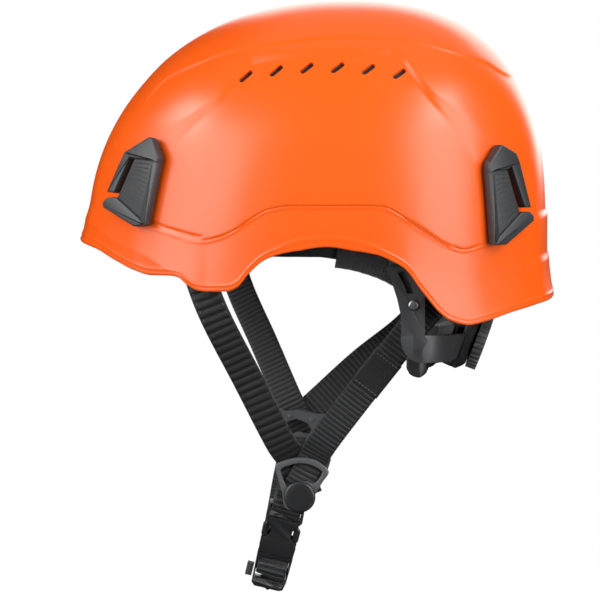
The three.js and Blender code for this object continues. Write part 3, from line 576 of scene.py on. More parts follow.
def make_shell():
    """The shell's two skins joined by a half-round rim, closed at the crown and pierced by the vents."""
    azimuths = np.linspace(0, 2 * math.pi, SHELL_COLUMNS, endpoint=False)
    outer, inner = outer_skin(azimuths), inner_skin(azimuths)
    middle, half = (outer[-1] + inner[0]) / 2, (outer[-1] - inner[0]) / 2
    edge = []
    for turn in np.linspace(0, math.pi, EDGE_STEPS)[1:-1]:
        ring = middle + half * math.cos(turn)
        ring[:, 2] -= EDGE_DROP * math.sin(turn)
        edge.append(ring)
    rows = [*outer, *edge, *inner]
    faces = rows_to_faces(len(rows), SHELL_COLUMNS)
    crown = dome_point(np.array([0.0]), full_climb(np.array([0.0])))[0]
    caps = [crown + [0, 0, CROWN_STEP], crown - [0, 0, WALL + PANEL_DEPTH + BAND_DEPTH]]
    outer_cap = len(rows) * SHELL_COLUMNS
    last = outer_cap - SHELL_COLUMNS
    for i in range(SHELL_COLUMNS):
        k = (i + 1) % SHELL_COLUMNS
        faces.append((outer_cap, k, i))
        faces.append((outer_cap + 1, last + i, last + k))
    mesh = bpy.data.meshes.new("shell_skin")
    vertices = np.concatenate([*rows, caps])
    mesh.from_pydata([tuple(float(c) * MM for c in v) for v in vertices], [], faces)
    mesh.validate()
    mesh.materials.append(ORANGE)
    shell = place_object("shell_skin", mesh)
    tidy_normals(shell, SHELL_CREASE)
    cut_vents(shell)
    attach(shell, "shell")
    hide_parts("shell")


def add_vent_block(work, number, side):
    """A slot-shaped block with rounded corners, slanted and canted to stand square to the shell."""
    place = Matrix.Translation(Vector(vent_centre(number, side) * MM))
    turn = Matrix.Rotation(-side * math.radians(VENTS["cant"]), 4, "Y")
    slant = Matrix.Rotation(math.radians(VENTS["slant"]), 4, "X")
    size = Matrix.Diagonal([VENTS[word] * MM for word in ("length", "width", "gap")] + [1])
    made = bmesh.ops.create_cube(work, size=1, matrix=size)
    ends = {e for v in made["verts"] for e in v.link_edges if abs((e.verts[0].co - e.verts[1].co).x) > 0.02}
    before = set(work.verts) - set(made["verts"])
    bmesh.ops.bevel(work, geom=list(ends), offset=VENTS["corner"] * MM, segments=4, affect="EDGES",
                    profile=0.5)
    fresh = [v for v in work.verts if v not in before]
    bmesh.ops.transform(work, matrix=place @ turn @ slant, verts=fresh)


def cut_vents(shell):
    """Cuts all vents with one joined tool."""
    work = bmesh.new()
    for side in (1, -1):
        for number in range(VENTS["count"]):
            add_vent_block(work, number, side)
    bmesh.ops.recalc_face_normals(work, faces=work.faces)
    mesh = bpy.data.meshes.new("vent_tool")
    work.to_mesh(mesh)
    work.free()
    cutter = place_object("vent_tool", mesh)
    boolean = shell.modifiers.new("vent", "BOOLEAN")
    boolean.operation = "DIFFERENCE"
    boolean.solver = "EXACT"
    boolean.object = cutter
    bake(shell)
    bpy.data.objects.remove(cutter)
    shell.data.set_sharp_from_angle(angle=math.radians(SHELL_CREASE))


# ---- Softened CAD shapes ----
BEVEL_ANGLE = 28
BEVEL_STEPS = 3


def pairs(*stems):
    """The left and the right node of each stem."""
    return [f"{stem}_{word}" for stem in stems for word in ("left", "right")]


# Nodes with holes through their flats, which keep their triangles so that the flats stay whole.
PIERCED = {
    "buckle_plug", "buckle_socket", "chin_loop", "ratchet_base", "ratchet_cover",
    *pairs("junction_frame", "junction_back", "cradle_arm", "cradle_hanger", "strap_bar"),
}
BODY_OF = {node: body for body, nodes in frame["record"]["behaviour"]["bodies"].items() for node in nodes}


def join_doubles(mesh, rejoin_flats):
    """Joins a triangulated solid's doubled vertices and, where asked, the triangles inside each flat."""
    work = bmesh.new()
    work.from_mesh(mesh)
    bmesh.ops.remove_doubles(work, verts=work.verts, dist=1e-6)
    if rejoin_flats:
        inside = [e for e in work.edges if len(e.link_faces) == 2 and e.calc_face_angle() < math.radians(2)]
        bmesh.ops.dissolve_edges(work, edges=inside)
    work.to_mesh(mesh)
    work.free()


def softened(node, material, width):
    """A copy of a CAD node's solid with its edges rounded, standing for the node."""
    piece = copy_of_node(node, f"{node}_look", material)
    join_doubles(piece.data, node not in PIERCED)
    bevel = piece.modifiers.new("bevel", "BEVEL")
    bevel.width = width * MM
    bevel.segments = BEVEL_STEPS
    bevel.limit_method = "ANGLE"
    bevel.angle_limit = math.radians(BEVEL_ANGLE)
    bevel.use_clamp_overlap = True
    bake(piece)
    tidy_normals(piece, 35)
    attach(piece, BODY_OF[node])
    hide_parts(node)


def soften_hard_parts():
    """Every plain moulded or turned part: its material, its slot, and how far its edges are rounded."""
    groups = [
        (DARK, "dark_plastic", 0.6, pairs("cradle_arm", "cradle_hanger")),
        (BLACK, "black_plastic", 0.5, [
            *pairs("cradle_wing"), "ratchet_base", "ratchet_cover", *pairs("junction_button"), "headband",
            *pairs("rack"), "ratchet_pinion", *pairs("strap_bar", "strap_anchor"), "buckle_socket",
            "buckle_plug", "buckle_prong_rear", "buckle_prong_front",
        ]),
        (GREY, "grey_plastic", 0.35, ["ratchet_dial", *pairs("junction_back")]),
        (STEEL, "steel", 0.3, [*pairs("cradle_rivet"), "detent_spring"]),
    ]
    for material, slot, width, nodes in groups:
        for node in nodes:
            softened(node, material, width)


# ---- Strap junction frames ----
JUNCTIONS = {"left": (50, -4.9, -140.1), "right": (-50, -14.5, -126.4)}
FRAME_LINE = [
    (-14.7, 17.9), (-9, 21.3), (0.5, 23), (10, 21.3), (16.9, 14.7), (13, 8), (8.5, 0), (6, -7), (0, -10),
    (-8.8, -7), (-10.5, 2), (-13, 10),
]
WINDOW_LINE = [(-11.4, 15), (-6, 18.2), (0.5, 19.4), (7, 18.2), (13, 14.4), (8.5, 8), (0, 9), (-7, 5)]
WINDOW_MIDDLE = np.array((0.5, 12.5))
CURVINESS = 0.75
FRAME_HALF_DEPTH = 1.5
FRAME_ROUNDING = 0.7


def rounded_loop(points, bearings):
    """A closed outline with eased corners, read off where rays from the window's middle cross it."""
    fine = []
    count = len(points)
    for i in range(count):
        p0, p1, p2, p3 = (np.array(points[(i + k) % count], float) for k in (-1, 0, 1, 2))
        for t in np.linspace(0, 1, 24, endpoint=False):
            bend = 0.5 * ((2 * p1) + (p2 - p0) * t + (2 * p0 - 5 * p1 + 4 * p2 - p3) * t**2
                          + (3 * p1 - p0 - 3 * p2 + p3) * t**3)
            fine.append(CURVINESS * bend + (1 - CURVINESS) * (p1 + (p2 - p1) * t))
    fine = np.array(fine) - WINDOW_MIDDLE
    angle = np.arctan2(fine[:, 1], fine[:, 0])
    order = np.argsort(angle)
    reach = np.interp(bearings, angle[order], np.linalg.norm(fine, axis=1)[order], period=2 * math.pi)
    return WINDOW_MIDDLE + np.stack([np.cos(bearings), np.sin(bearings)], axis=1) * reach[:, None]


def make_junction_frame(word):
    """A flat ring of nylon round the window where both strap legs cross, with softly rounded edges."""
    out = 1 if word == "left" else -1
    bearings = np.linspace(-math.pi, math.pi, 120, endpoint=False)
    outer, window = rounded_loop(FRAME_LINE, bearings), rounded_loop(WINDOW_LINE, bearings)
    origin = np.array(JUNCTIONS[word], float)

    def placed(outline, depth):
        return [Vector((origin + (depth * out, p[0], p[1])) * MM) for p in outline]

    rings = []
    for line, sense in ((outer, 1), (window, -1)):
        away = unit(line - WINDOW_MIDDLE)
        for turn in np.linspace(-sense * math.pi / 2, sense * math.pi / 2, 9):
            inset = -sense * FRAME_ROUNDING * (1 - math.cos(turn) ** 0.7)
            rings.append(placed(line + away * inset, FRAME_HALF_DEPTH * math.sin(turn)))
    rings.append(rings[0])
    work = bmesh.new()
    extrude_rings(work, rings, False)
    piece = work_to_piece(work, f"junction_frame_{word}_ring", GREY, 50)
    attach(piece, "shell")
    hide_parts(f"junction_frame_{word}")


# ---- Lamp clips ----
# Outlines on a left clip's own face: the grip panel, the raised parts round it, and the two sides between
# which the grip ribs run.
CLIP_SHAPES = {
    "front": {
        "panel": [(2.4, 15), (17.4, 14.3), (12, -21), (-8.2, -9.2)],
        "top": [
            (12.9, 26.8), (15.4, 25.6), (21.2, 15.4), (20.6, 11.5), (16.6, 13.3), (3, 14), (-0.5, 14.2),
            (-5.1, 17.1), (3, 21.5),
        ],
        "arm": [(4, 20), (1.5, 14.6), (-0.5, 14.2), (-10, -6.2), (-15.5, -6), (-5.1, 17.1)],
        "edge": [(20.8, 13), (15.8, -23.7), (11.1, -20.6), (16.6, 13.6)],
        "foot": [
            (15.8, -23.7), (7.4, -24.8), (-17.3, -15), (-18.1, -12.6), (-15.3, -9.4), (-8, -8.6),
            (11.1, -20),
        ],
        "ribs": [(2.4, 12), (-7.6, -9.2), (16, 11.8), (11.2, -18.4)],
    },
    "rear": {
        "panel": [(0.2, 12.2), (-12.4, 12.2), (-10.4, -26.3), (9.4, -13.8)],
        "top": [
            (-5.1, 26.1), (-14.7, 16.4), (-15.5, 13.2), (-15.3, 9.5), (-11.6, 11.2), (-0.6, 11.5),
            (2.6, 13.2), (9.9, 14.5), (7.1, 20.5),
        ],
        "arm": [(3, 20), (1, 12.6), (2.6, 13.2), (12.2, -10.6), (17.4, -10.8), (9.9, 14.5)],
        "edge": [(-15.4, 11), (-13.4, -30.6), (-9.6, -26), (-11.6, 11.6)],
        "foot": [
            (-13.4, -30.6), (-4.5, -30.8), (19.1, -18.7), (19.6, -15.6), (16, -12.9), (9.2, -13.2),
            (-9.6, -25.5),
        ],
        "ribs": [(-0.9, 9.8), (8.6, -13.8), (-11.2, 9.6), (-9.6, -23.6)],
    },
}
CLIP_RIBS = 11
CLIP_DEPTH = 6.0
CLIP_STANDOFF = 0.3
CLIP_CORNER = 1.0
RIB_SINK = 1.95
RIB_HEIGHT = 0.45
RIB_WIDTH = 0.8
# Each raised part: how far its top lies below the clip's full depth, and how far its rims are rounded.
CLIP_PARTS = {
    "panel": (1.9, 0.3), "top": (0, 0.8), "arm": (0.1, 0.7), "edge": (0.5, 0.7), "foot": (0.1, 0.8),
}


def rounded_outline(points):
    """A closed outline with each corner turned into a small curve."""
    result = []
    count = len(points)
    for i in range(count):
        before, here, after = (np.array(points[(i + k) % count], float) for k in (-1, 0, 1))
        into, out = here - before, after - here
        cut_in = min(CLIP_CORNER, np.linalg.norm(into) * 0.45)
        cut_out = min(CLIP_CORNER, np.linalg.norm(out) * 0.45)
        start = here - into / np.linalg.norm(into) * cut_in
        end = here + out / np.linalg.norm(out) * cut_out
        for t in np.linspace(0, 1, 5):
            result.append((1 - t) ** 2 * start + 2 * t * (1 - t) * here + t**2 * end)
    return result


def grown_outline(points, amount):
    """The outline moved outwards by amount along its own normals; a negative amount shrinks it."""
    points = np.array(points)
    ahead = np.roll(points, -1, axis=0) - np.roll(points, 1, axis=0)
    ahead /= np.maximum(np.linalg.norm(ahead, axis=1, keepdims=True), 1e-9)
    normal = np.stack([ahead[:, 1], -ahead[:, 0]], axis=1)
    area = np.sum(points[:, 0] * np.roll(points[:, 1], -1) - np.roll(points[:, 0], -1) * points[:, 1])
    return points + normal * amount * (1 if area > 0 else -1)


def extrude_rings(work, rings, closed_ends=True):
    """Joins rings of equal length into a skin; each ring is a list of 3-D points."""
    rows = [[work.verts.new(p) for p in ring] for ring in rings]
    count = len(rings[0])
    for low, high in zip(rows, rows[1:]):
        for i in range(count):
            k = (i + 1) % count
            work.faces.new((low[i], low[k], high[k], high[i]))
    if closed_ends:
        work.faces.new(rows[0][::-1])
        work.faces.new(rows[-1])


def lifted(outline, height, matrix):
    """A flat outline raised off a clip's face and set in place."""
    return [matrix @ Vector((p[0] * MM, p[1] * MM, height * MM)) for p in outline]


def prism(work, outline, low, high, matrix, edge):
    """A block on an outline with both rims rounded over in three steps."""
    rings = []
    for level, sense, shares in ((low, 1, (0, 0.35, 0.7, 1)), (high, -1, (1, 0.7, 0.35, 0))):
        for share in shares:
            turn = share * math.pi / 2
            outside = grown_outline(outline, -edge * (1 - math.sin(turn)))
            rings.append(lifted(outside, level + sense * edge * (1 - math.cos(turn)), matrix))
    extrude_rings(work, rings)


def clip_matrix(name, side):
    """Where a clip's face stands on its flat: across, up and outwards."""
    flat = FLATS[name]
    normal = flat_normal(flat, side)
    across = unit(np.cross([0, 0, 1], normal))
    up = np.cross(normal, across)
    origin = CENTRE + normal * (flat["distance"] + CLIP_STANDOFF)
    origin = origin + across * flat["along"] * side + up * flat["level"]
    matrix = Matrix.Identity(4)
    for column, vector in enumerate((across, up, normal, origin * MM)):
        for row in range(3):
            matrix[row][column] = vector[row]
    return matrix


def make_clip(name, side):
    """A lamp clip: a plate with a raised cap, side and foot round a panel of thin grip ribs."""
    word = "left" if side > 0 else "right"
    shapes = CLIP_SHAPES[name]
    matrix = clip_matrix(name, side)
    pieces = []
    for part, (drop, edge) in CLIP_PARTS.items():
        outline = rounded_outline([(side * x, y) for x, y in shapes[part]])
        work = bmesh.new()
        prism(work, outline, 0, CLIP_DEPTH - drop, matrix, edge)
        pieces.append(work_to_piece(work, f"clip_{name}_{word}_{part}", CLIP, 50))
    inner_top, inner_low, outer_top, outer_low = (np.array((side * x, y)) for x, y in shapes["ribs"])
    ribs = bmesh.new()
    for t in np.linspace(0.03, 0.95, CLIP_RIBS):
        inner, outer = inner_top + (inner_low - inner_top) * t, outer_top + (outer_low - outer_top) * t
        line = [inner + (outer - inner) * u + np.array((0, 0.5 * math.sin(math.pi * u)))
                for u in np.linspace(0.08, 0.9, 14)]
        thin_rib(ribs, line, matrix)
    pieces.append(work_to_piece(ribs, f"clip_{name}_{word}_ribs", CLIP, 40))
    for piece in pieces:
        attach(piece, "shell")
    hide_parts(f"lamp_clip_{name}_{word}")


def thin_rib(work, line, matrix):
    """A low half-round ridge along a line on a clip's panel."""
    heading = unit(np.gradient(np.array(line), axis=0))
    side = np.stack([-heading[:, 1], heading[:, 0]], axis=1)
    rings = []
    for place, (point, across) in enumerate(zip(line, side)):
        taper = 0.35 if place in (0, len(line) - 1) else 1.0
        ring = []
        for turn in np.linspace(0, math.pi, 6):
            spot = point + across * math.cos(turn) * RIB_WIDTH / 2 * taper
            level = CLIP_DEPTH - RIB_SINK + math.sin(turn) * RIB_HEIGHT * taper
            ring.append(matrix @ Vector((spot[0] * MM, spot[1] * MM, level * MM)))
        rings.append(ring)
    extrude_rings(work, rings)


def work_to_piece(work, name, material, sharp):
    """Turns a finished bmesh into a piece."""
    mesh = bpy.data.meshes.new(name)
    work.to_mesh(mesh)
    work.free()
    mesh.materials.append(material)
    piece = place_object(name, mesh)
    tidy_normals(piece, sharp)
    return piece


# ---- Webbing ----
WEB_WIDTH = 17.5
WEB_THICKNESS = 1.7
SELVEDGE = 0.75
ROUTE_STEP = 0.55
COARSE_PITCH = 4.8
FINE_PITCH = 2.9
THREAD_RADIUS = 0.32
SEAM_MARGIN = 1.9
SEAM_LENGTH = 34
STITCH_SPAN = 5
# The middle lines of the straps, from the divider up to the shell.
ROUTES = {
    "strap_front_left": [
        (45.2, -0.5, -141), (45.3, -6, -128), (45.9, -10.9, -118), (53.6, -15.6, -109), (68, -33.6, -69.5),
        (84.2, -52.6, -27), (84.2, -62.5, 0),
    ],
    "strap_rear_left": [
        (47.2, -8.5, -139), (47.3, -2, -127.5), (47.7, 2.4, -118.5), (54, 8.2, -108.5),
        (62, 30, -78.6), (69, 53, -48.5), (71.5, 64, -34.5), (74.5, 73, -24), (80, 80, -16),
    ],
    "strap_front_right": [
        (-53.4, -7, -124), (-53.4, -13.5, -111), (-54, -20, -98), (-69, -36.6, -64.3),
        (-84.2, -53.9, -29.8), (-84.2, -62.5, 0),
    ],
    "strap_rear_right": [
        (-55.4, -21.5, -120), (-55.4, -14, -111), (-56, -4, -102), (-62, 25, -75.5),
        (-68.5, 50, -56), (-71, 62, -44), (-74, 72, -31), (-80, 80, -18),
    ],
}
CHIN_ROUTE = [
    (26.5, -24, -188), (21, -23, -180), (3, -19.5, -157), (-24, -17.5, -138), (-43.5, -15, -124),
    (-46.3, -14.6, -121),
]
CHIN_FACES = [(1, 0, 0), (0.7, 0, 0.7), (0.7, 0, 0.7)]


def smooth_route(points, steps):
    """Centripetal Catmull-Rom curve through the points, evenly stepped."""
    points = [np.array(p, float) for p in points]
    ends = [2 * points[0] - points[1], *points, 2 * points[-1] - points[-2]]
    fine = []
    for p0, p1, p2, p3 in zip(ends, ends[1:], ends[2:], ends[3:]):
        t1 = np.linalg.norm(p1 - p0) ** 0.5
        t2 = t1 + np.linalg.norm(p2 - p1) ** 0.5
        t3 = t2 + np.linalg.norm(p3 - p2) ** 0.5
        for t in np.linspace(t1, t2, 60, endpoint=False):
            a1 = (t1 - t) / t1 * p0 + t / t1 * p1
            a2 = (t2 - t) / (t2 - t1) * p1 + (t - t1) / (t2 - t1) * p2
            a3 = (t3 - t) / (t3 - t2) * p2 + (t - t2) / (t3 - t2) * p3
            b1 = (t2 - t) / t2 * a1 + t / t2 * a2
            b2 = (t3 - t) / (t3 - t1) * a2 + (t - t1) / (t3 - t1) * a3
            fine.append((t2 - t) / (t2 - t1) * b1 + (t - t1) / (t2 - t1) * b2)
    fine = np.array([*fine, points[-1]])
    run = np.concatenate([[0], np.cumsum(np.linalg.norm(np.diff(fine, axis=0), axis=1))])
    even = np.linspace(0, run[-1], steps)
    return np.stack([np.interp(even, run, fine[:, k]) for k in range(3)], axis=1), even


def route_frame(route, faces, start, end):
    """Points along a kept share of a route with their across and normal directions and run lengths."""
    length = np.sum(np.linalg.norm(np.diff(np.array(route, float), axis=0), axis=1))
    line, run = smooth_route(route, int(length / ROUTE_STEP) + 2)
    keep = (run / run[-1] >= start) & (run / run[-1] <= end)
    line, run = line[keep], run[keep]
    heading = unit(np.gradient(line, axis=0))
    face_at = np.linspace(0, 1, len(faces))
    face = np.stack([np.interp(run / run[-1], face_at, [f[k] for f in faces]) for k in range(3)], axis=1)
    across = unit(np.cross(face, heading))
    return line, across, np.cross(heading, across), run


def web_profile(width, thickness):
    """A band's section with rounded selvedges, as (place across, height, share of the rib's depth)."""
    profile = []
    flat = width / 2 - SELVEDGE
    for sense, turns in ((1, (60, 25, -25, -60)), (-1, (-120, -155, 155, 120))):
        profile += [(u, sense * thickness / 2, 1.0) for u in np.linspace(-sense * flat, sense * flat, 15)]
        for turn in map(math.radians, turns):
            profile.append((sense * flat + SELVEDGE * math.cos(turn), thickness / 2 * math.sin(turn), 0.4))
    return profile


def ribbon(name, route, faces, material, pitch, rib, width=WEB_WIDTH, thickness=WEB_THICKNESS,
           start=0.0, end=1.0, edge_weave=0.16):
    """A woven band along a route: rounded selvedges, weft ribs across it, UVs in millimetres."""
    line, across, normal, run = route_frame(route, faces, start, end)
    profile = web_profile(width, thickness)
    half = width / 2
    vertices, uvs = [], []
    for i, place in enumerate(run):
        wave = math.cos(2 * math.pi * place / pitch)
        swell = math.copysign(abs(wave) ** 0.6, wave)
        fray = edge_weave * math.cos(4 * math.pi * place / pitch)
        for u, n, weight in profile:
            bow = 1 - (abs(u) / half) ** 6
            depth = n + math.copysign(rib * (swell - 1) * 0.5 * weight * bow, n)
            stretch = u + math.copysign(fray * (abs(u) / half) ** 8, u)
            vertices.append(line[i] + across[i] * stretch + normal[i] * depth)
            uvs.append((place, u + (0 if n >= 0 else 40)))
    steps, count = len(line), len(profile)
    quads = rows_to_faces(steps, count)
    ends = [tuple(range(count)), tuple(range((steps - 1) * count, steps * count))[::-1]]
    mesh = bpy.data.meshes.new(name)
    mesh.from_pydata([tuple(v * MM) for v in vertices], [], quads + ends)
    layer = mesh.uv_layers.new(name="UVMap")
    for loop in mesh.loops:
        layer.data[loop.index].uv = uvs[loop.vertex_index]
    mesh.materials.append(material)
    piece = place_object(name, mesh)
    tidy_normals(piece, 60)
    return piece, line, across, normal, run


def stitch_row(name, starts, ends):
    """Short raised thread stitches, each from a start to an end point."""
    work = bmesh.new()
    for a, b in zip(starts, ends):
        a, b = np.array(a), np.array(b)
        along = unit(b - a)
        helper = np.array([0.0, 0.0, 1.0]) if abs(along[2]) < 0.9 else np.array([0.0, 1.0, 0.0])
        side = unit(np.cross(along, helper))
        other = np.cross(along, side)
        rings = []
        for t, fat in ((0, 0.35), (0.12, 0.85), (0.5, 1.0), (0.88, 0.85), (1, 0.35)):
            spot = a + (b - a) * t
            rings.append([
                Vector((spot + (side * math.cos(w) + other * math.sin(w)) * THREAD_RADIUS * fat) * MM)
                for w in np.linspace(0, 2 * math.pi, 8, endpoint=False)
            ])
        extrude_rings(work, rings)
    return work_to_piece(work, name, THREAD, 80)


def cross_stitches(name, line, across, normal, run, places, lift, width):
    """Rows of stitches straight across a band at the given run lengths, lifted off its middle."""
    starts, ends = [], []
    for place in places:
        i = int(np.argmin(np.abs(run - place)))
        count = int((width - 3) / 2.1)
        for k in range(count):
            u = -(width - 3) / 2 + k * (width - 3) / count
            base = line[i] + normal[i] * lift
            starts.append(base + across[i] * u)
            ends.append(base + across[i] * (u + 1.5))
    return stitch_row(name, starts, ends)


def make_straps():
    """The four legs of the harness; the near front one has the coarse rib."""
    for node, route in ROUTES.items():
        front = node == "strap_front_left"
        piece, line, across, normal, run = ribbon(
            f"{node}_webbing", route, [(1, 0, 0)], WEBBING_COARSE if front else WEBBING_FINE,
            pitch=COARSE_PITCH if front else FINE_PITCH, rib=0.6 if front else 0.42,
        )
        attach(piece, "shell")
        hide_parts(node)
        outward = normal[0][0] > 0
        face = 1 if outward == node.endswith("left") else -1
        lengthwise_stitches(f"{node}_edge_seam", line, across, normal * face, run)


# The hanging buckle's top, its own upward direction and the way it faces.
BUCKLE_TOP = np.array((42, -13, -147.3))
BUCKLE_UP = np.array((0.20688, 0.23853, 0.94884))
BUCKLE_OUT = np.array((0.97705, 0, -0.21303))


def on_buckle(level, depth):
    """A point on the buckle's middle line, at a level below its top and a depth off its face."""
    return tuple(BUCKLE_TOP + BUCKLE_UP * level + BUCKLE_OUT * depth)


def make_buckle_webbing():
    """The chin strap's turn over the plug's bar, and the loop that hangs the socket."""
    turn = [on_buckle(*spot) for spot in (
        (-47, -2.6), (-46.7, -0.5), (-45.2, 1.9), (-41.5, 3.2), (-37.8, 2.2), (-36.3, -0.2), (-36, -2.6),
    )]
    piece, *_ = ribbon("plug_bar_webbing", turn, [(1, 0, 0)], WEBBING_FINE, width=17.9, pitch=3.4, rib=0.5)
    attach(piece, "buckle_plug")
    hang = [on_buckle(*spot) for spot in (
        (-5.2, -1.5), (-4, 3.6), (-0.5, 5.3), (4.5, 4.9), (9, 1.6), (17, 0.9),
    )]
    piece, *_ = ribbon("socket_bar_webbing", hang, [(1, 0, 0)], WEBBING_FINE, pitch=FINE_PITCH, rib=0.4)
    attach(piece, "shell")


def lengthwise_stitches(name, line, across, outward, run):
    """Two seams near the band's edges, over its top end where it is folded and sewn."""
    starts, ends = [], []
    first = int(np.argmin(np.abs(run - (run[-1] - SEAM_LENGTH))))
    for u in (-WEB_WIDTH / 2 + SEAM_MARGIN, WEB_WIDTH / 2 - SEAM_MARGIN):
        seam = line + (outward * (WEB_THICKNESS / 2 + 0.05) + across * u)
        for i in range(first, len(run) - STITCH_SPAN - 1, STITCH_SPAN):
            starts.append(seam[i])
            ends.append(seam[i + STITCH_SPAN - 2])
    piece = stitch_row(name, starts, ends)
    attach(piece, "shell")


def make_chin_strap():
    """The strap under the chin, which bends between the buckle's plug and the far divider."""
    piece, *_ = ribbon("chin_strap_webbing", CHIN_ROUTE, CHIN_FACES, WEBBING_FINE, pitch=FINE_PITCH, rib=0.2)
    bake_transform(piece)
    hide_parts("chin_strap")


LABEL_ENDS = ((69.5, 47.5, -56), (64, 32.5, -75))
LABEL_WIDTH = 18.6
LABEL_THICKNESS = 2.9


def make_label():
    """A blank woven sleeve sewn round the near rear strap, with a plain running stitch near each end."""
    route = ROUTES["strap_rear_left"]
    line, run = smooth_route(route, 400)
    ends = [int(np.argmin(np.linalg.norm(line - np.array(spot), axis=1))) for spot in LABEL_ENDS]
    start, end = sorted(run[ends] / run[-1])
    piece, line, across, normal, run = ribbon(
        "label_sleeve_cloth", route, [(1, 0, 0)], LABEL, width=LABEL_WIDTH, thickness=LABEL_THICKNESS,
        pitch=FINE_PITCH, rib=0.0, start=start, end=end, edge_weave=0.0,
    )
    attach(piece, "shell")
    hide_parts("label_sleeve")
    face = 1 if normal[0][0] > 0 else -1
    places = (run[0] + 1.6, run[-1] - 1.6)
    seams = cross_stitches("label_sleeve_seams", line, across, normal, run, places,
                           LABEL_THICKNESS / 2 * face, LABEL_WIDTH)
    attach(seams, "shell")


# ---- Soft parts ----
def softened_pad(node, body, size, puff=0.5):
    """A pad from its CAD form, remeshed finely, relaxed, and given faint creases."""
    piece = copy_of_node(node, f"{node}_padding", KNIT)
    remesh = piece.modifiers.new("remesh", "REMESH")
    remesh.mode = "VOXEL"
    remesh.voxel_size = size * 0.5 * MM
    relax = piece.modifiers.new("relax", "SMOOTH")
    relax.iterations = 3
    relax.factor = 0.5
    bake(piece)
    wrinkle(piece, puff)
    piece.data.shade_smooth()
    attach(piece, body)
    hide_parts(node)


def wrinkle(piece, amount):
    """Shallow, smooth unevenness of foam under cloth, fixed by each point's place."""
    vertices = piece.data.vertices
    normals = [v.normal.copy() for v in vertices]
    for vertex, normal in zip(vertices, normals):
        spot = vertex.co * 55
        wave = unevenness.noise(spot) * 0.7 + unevenness.noise(spot * 2.7) * 0.3
        vertex.co += normal * (wave * amount * 0.5 * MM)


def make_pads():
    """The comfort pads, the brow pad and the nape pad."""
    for node, size in (
        ("comfort_pad_crown", 3.0), ("comfort_pad_side_left", 2.6), ("comfort_pad_side_right", 2.6),
        ("comfort_pad_front", 2.6), ("comfort_pad_rear", 2.6),
    ):
        softened_pad(node, "shell", size=size)
    softened_pad("brow_pad", "shell", size=1.6, puff=0.3)
    softened_pad("nape_pad", "cradle", size=1.8, puff=0.4)


def make_brow_tails():
    """The brow pad's cloth binding, running on along each side of the headband to the cradle arm."""
    for side, word in ((1, "left"), (-1, "right")):
        route = [(side * x, y, z) for x, y, z in (
            (78.5, 18, 3.4), (78.2, 28, 1.8), (77.6, 36, -0.4), (77, 44, -3.2), (76.4, 51, -6.6),
            (76, 57, -10.4),
        )]
        piece, *_ = ribbon(f"headband_binding_{word}", route, [(1, 0, 0)], KNIT, width=13, thickness=3.2,
                           pitch=2.4, rib=0.3)
        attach(piece, "shell")


def make_liner():
    """The impact foam, which has its CAD form."""
    piece = copy_of_node("impact_liner", "impact_liner_foam", FOAM)
    tidy_normals(piece, 35)
    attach(piece, "shell")
    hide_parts("impact_liner")


# ---- Studio ----
AIM = Vector((0, -0.0087, -0.030))
VIEW = Vector((0.9917, 0.0746, 0.1045))
DISTANCE = 1.6
LENS = 160
SKY = 0.4
# Each box: its direction, then its distance, width and height in metres and its power in watts.
SOFTBOXES = {
    "front_box": ((0.62, -0.74, 0.25), 1.9, 1.5, 1.7, 42),
    "rear_box": ((0.60, 0.76, 0.25), 1.9, 1.6, 1.7, 46),
    "front_upper_box": ((0.25, -0.78, 0.58), 1.9, 0.6, 0.45, 10),
    "rear_upper_box": ((0.42, 0.62, 0.66), 1.9, 0.8, 0.45, 12),
    "far_box": ((-0.90, 0.20, 0.35), 2.2, 2.0, 1.6, 34),
    "top_box": ((-0.25, 0.10, 0.96), 2.2, 2.2, 2.2, 7),
}


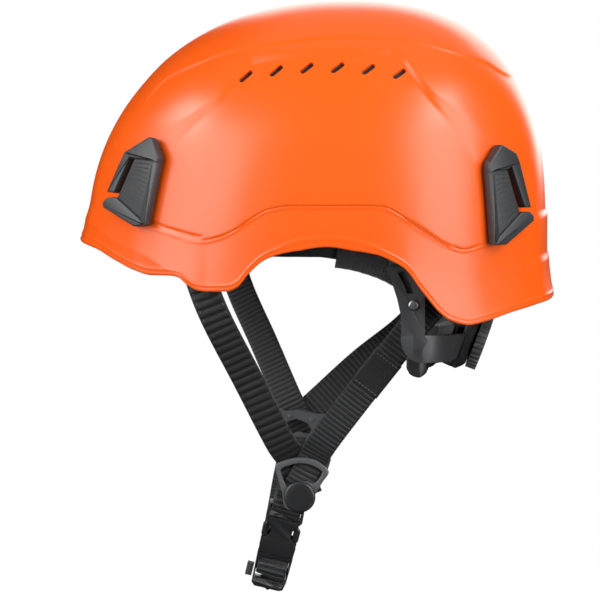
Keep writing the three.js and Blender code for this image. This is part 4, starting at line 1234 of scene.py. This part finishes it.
def glowing_card(name, corners):
    """A pale surface that reads as plain white behind the helmet and throws no light on it."""
    mesh = bpy.data.meshes.new(name)
    mesh.from_pydata(corners, [], [(0, 1, 2, 3)])
    material, *_ = new_material(f"{name}_pale", (0, 0, 0), 1.0, Specular_IOR_Level=0.0,
                                Emission_Color=(1, 1, 1, 1), Emission_Strength=1.0)
    mesh.materials.append(material)
    card = place_object(name, mesh)
    card.visible_diffuse = False
    card.visible_glossy = False
    card.visible_transmission = False
    card.visible_shadow = False
    return card


def make_studio():
    """A white floor and four walls in the distance, and an even white sky."""
    reach, level, height = 9.0, -1.25, 8.0
    corners = [(-reach, -reach), (reach, -reach), (reach, reach), (-reach, reach)]
    cards = [glowing_card("studio_floor", [(x, y, level) for x, y in corners])]
    for number in range(4):
        (x0, y0), (x1, y1) = corners[number], corners[(number + 1) % 4]
        cards.append(glowing_card(f"studio_wall_{number + 1}", [
            (x0, y0, level), (x1, y1, level), (x1, y1, height), (x0, y0, height),
        ]))
    world = bpy.data.worlds.new("studio")
    bpy.context.scene.world = world
    world.use_nodes = True
    sky = world.node_tree.nodes["Background"].inputs
    sky["Color"].default_value = (1, 1, 1, 1)
    sky["Strength"].default_value = SKY
    world.cycles_visibility.glossy = False


def make_lights():
    """Soft boxes round the helmet, each turned to face it."""
    for name, (direction, distance, width, height, power) in SOFTBOXES.items():
        light = bpy.data.lights.new(name, "AREA")
        light.shape = "RECTANGLE"
        light.size = width
        light.size_y = height
        light.energy = power
        lamp = place_object(name, light)
        spot = Vector(direction).normalized() * distance
        lamp.location = AIM + spot
        lamp.rotation_euler = (-spot).to_track_quat("-Z", "Y").to_euler()


def make_camera():
    """A long lens on the helmet's left side, a little above it."""
    data = bpy.data.cameras.new("studio_camera")
    data.lens = LENS
    data.sensor_width = 36
    data.clip_end = 60
    camera = place_object("studio_camera", data)
    camera.location = AIM + VIEW.normalized() * DISTANCE
    camera.rotation_euler = VIEW.to_track_quat("Z", "Y").to_euler()
    bpy.context.scene.camera = camera
    bpy.context.scene.view_settings.view_transform = "Standard"


make_shell()
for clip in FLATS:
    make_clip(clip, 1)
    make_clip(clip, -1)
soften_hard_parts()
make_junction_frame("left")
make_junction_frame("right")
make_straps()
make_brow_tails()
make_chin_strap()
make_label()
make_pads()
make_liner()
make_buckle_webbing()
softened("chin_loop", KNIT, 0.3)
softened("tail_stop", KNIT, 0.4)
make_studio()
make_lights()
make_camera()
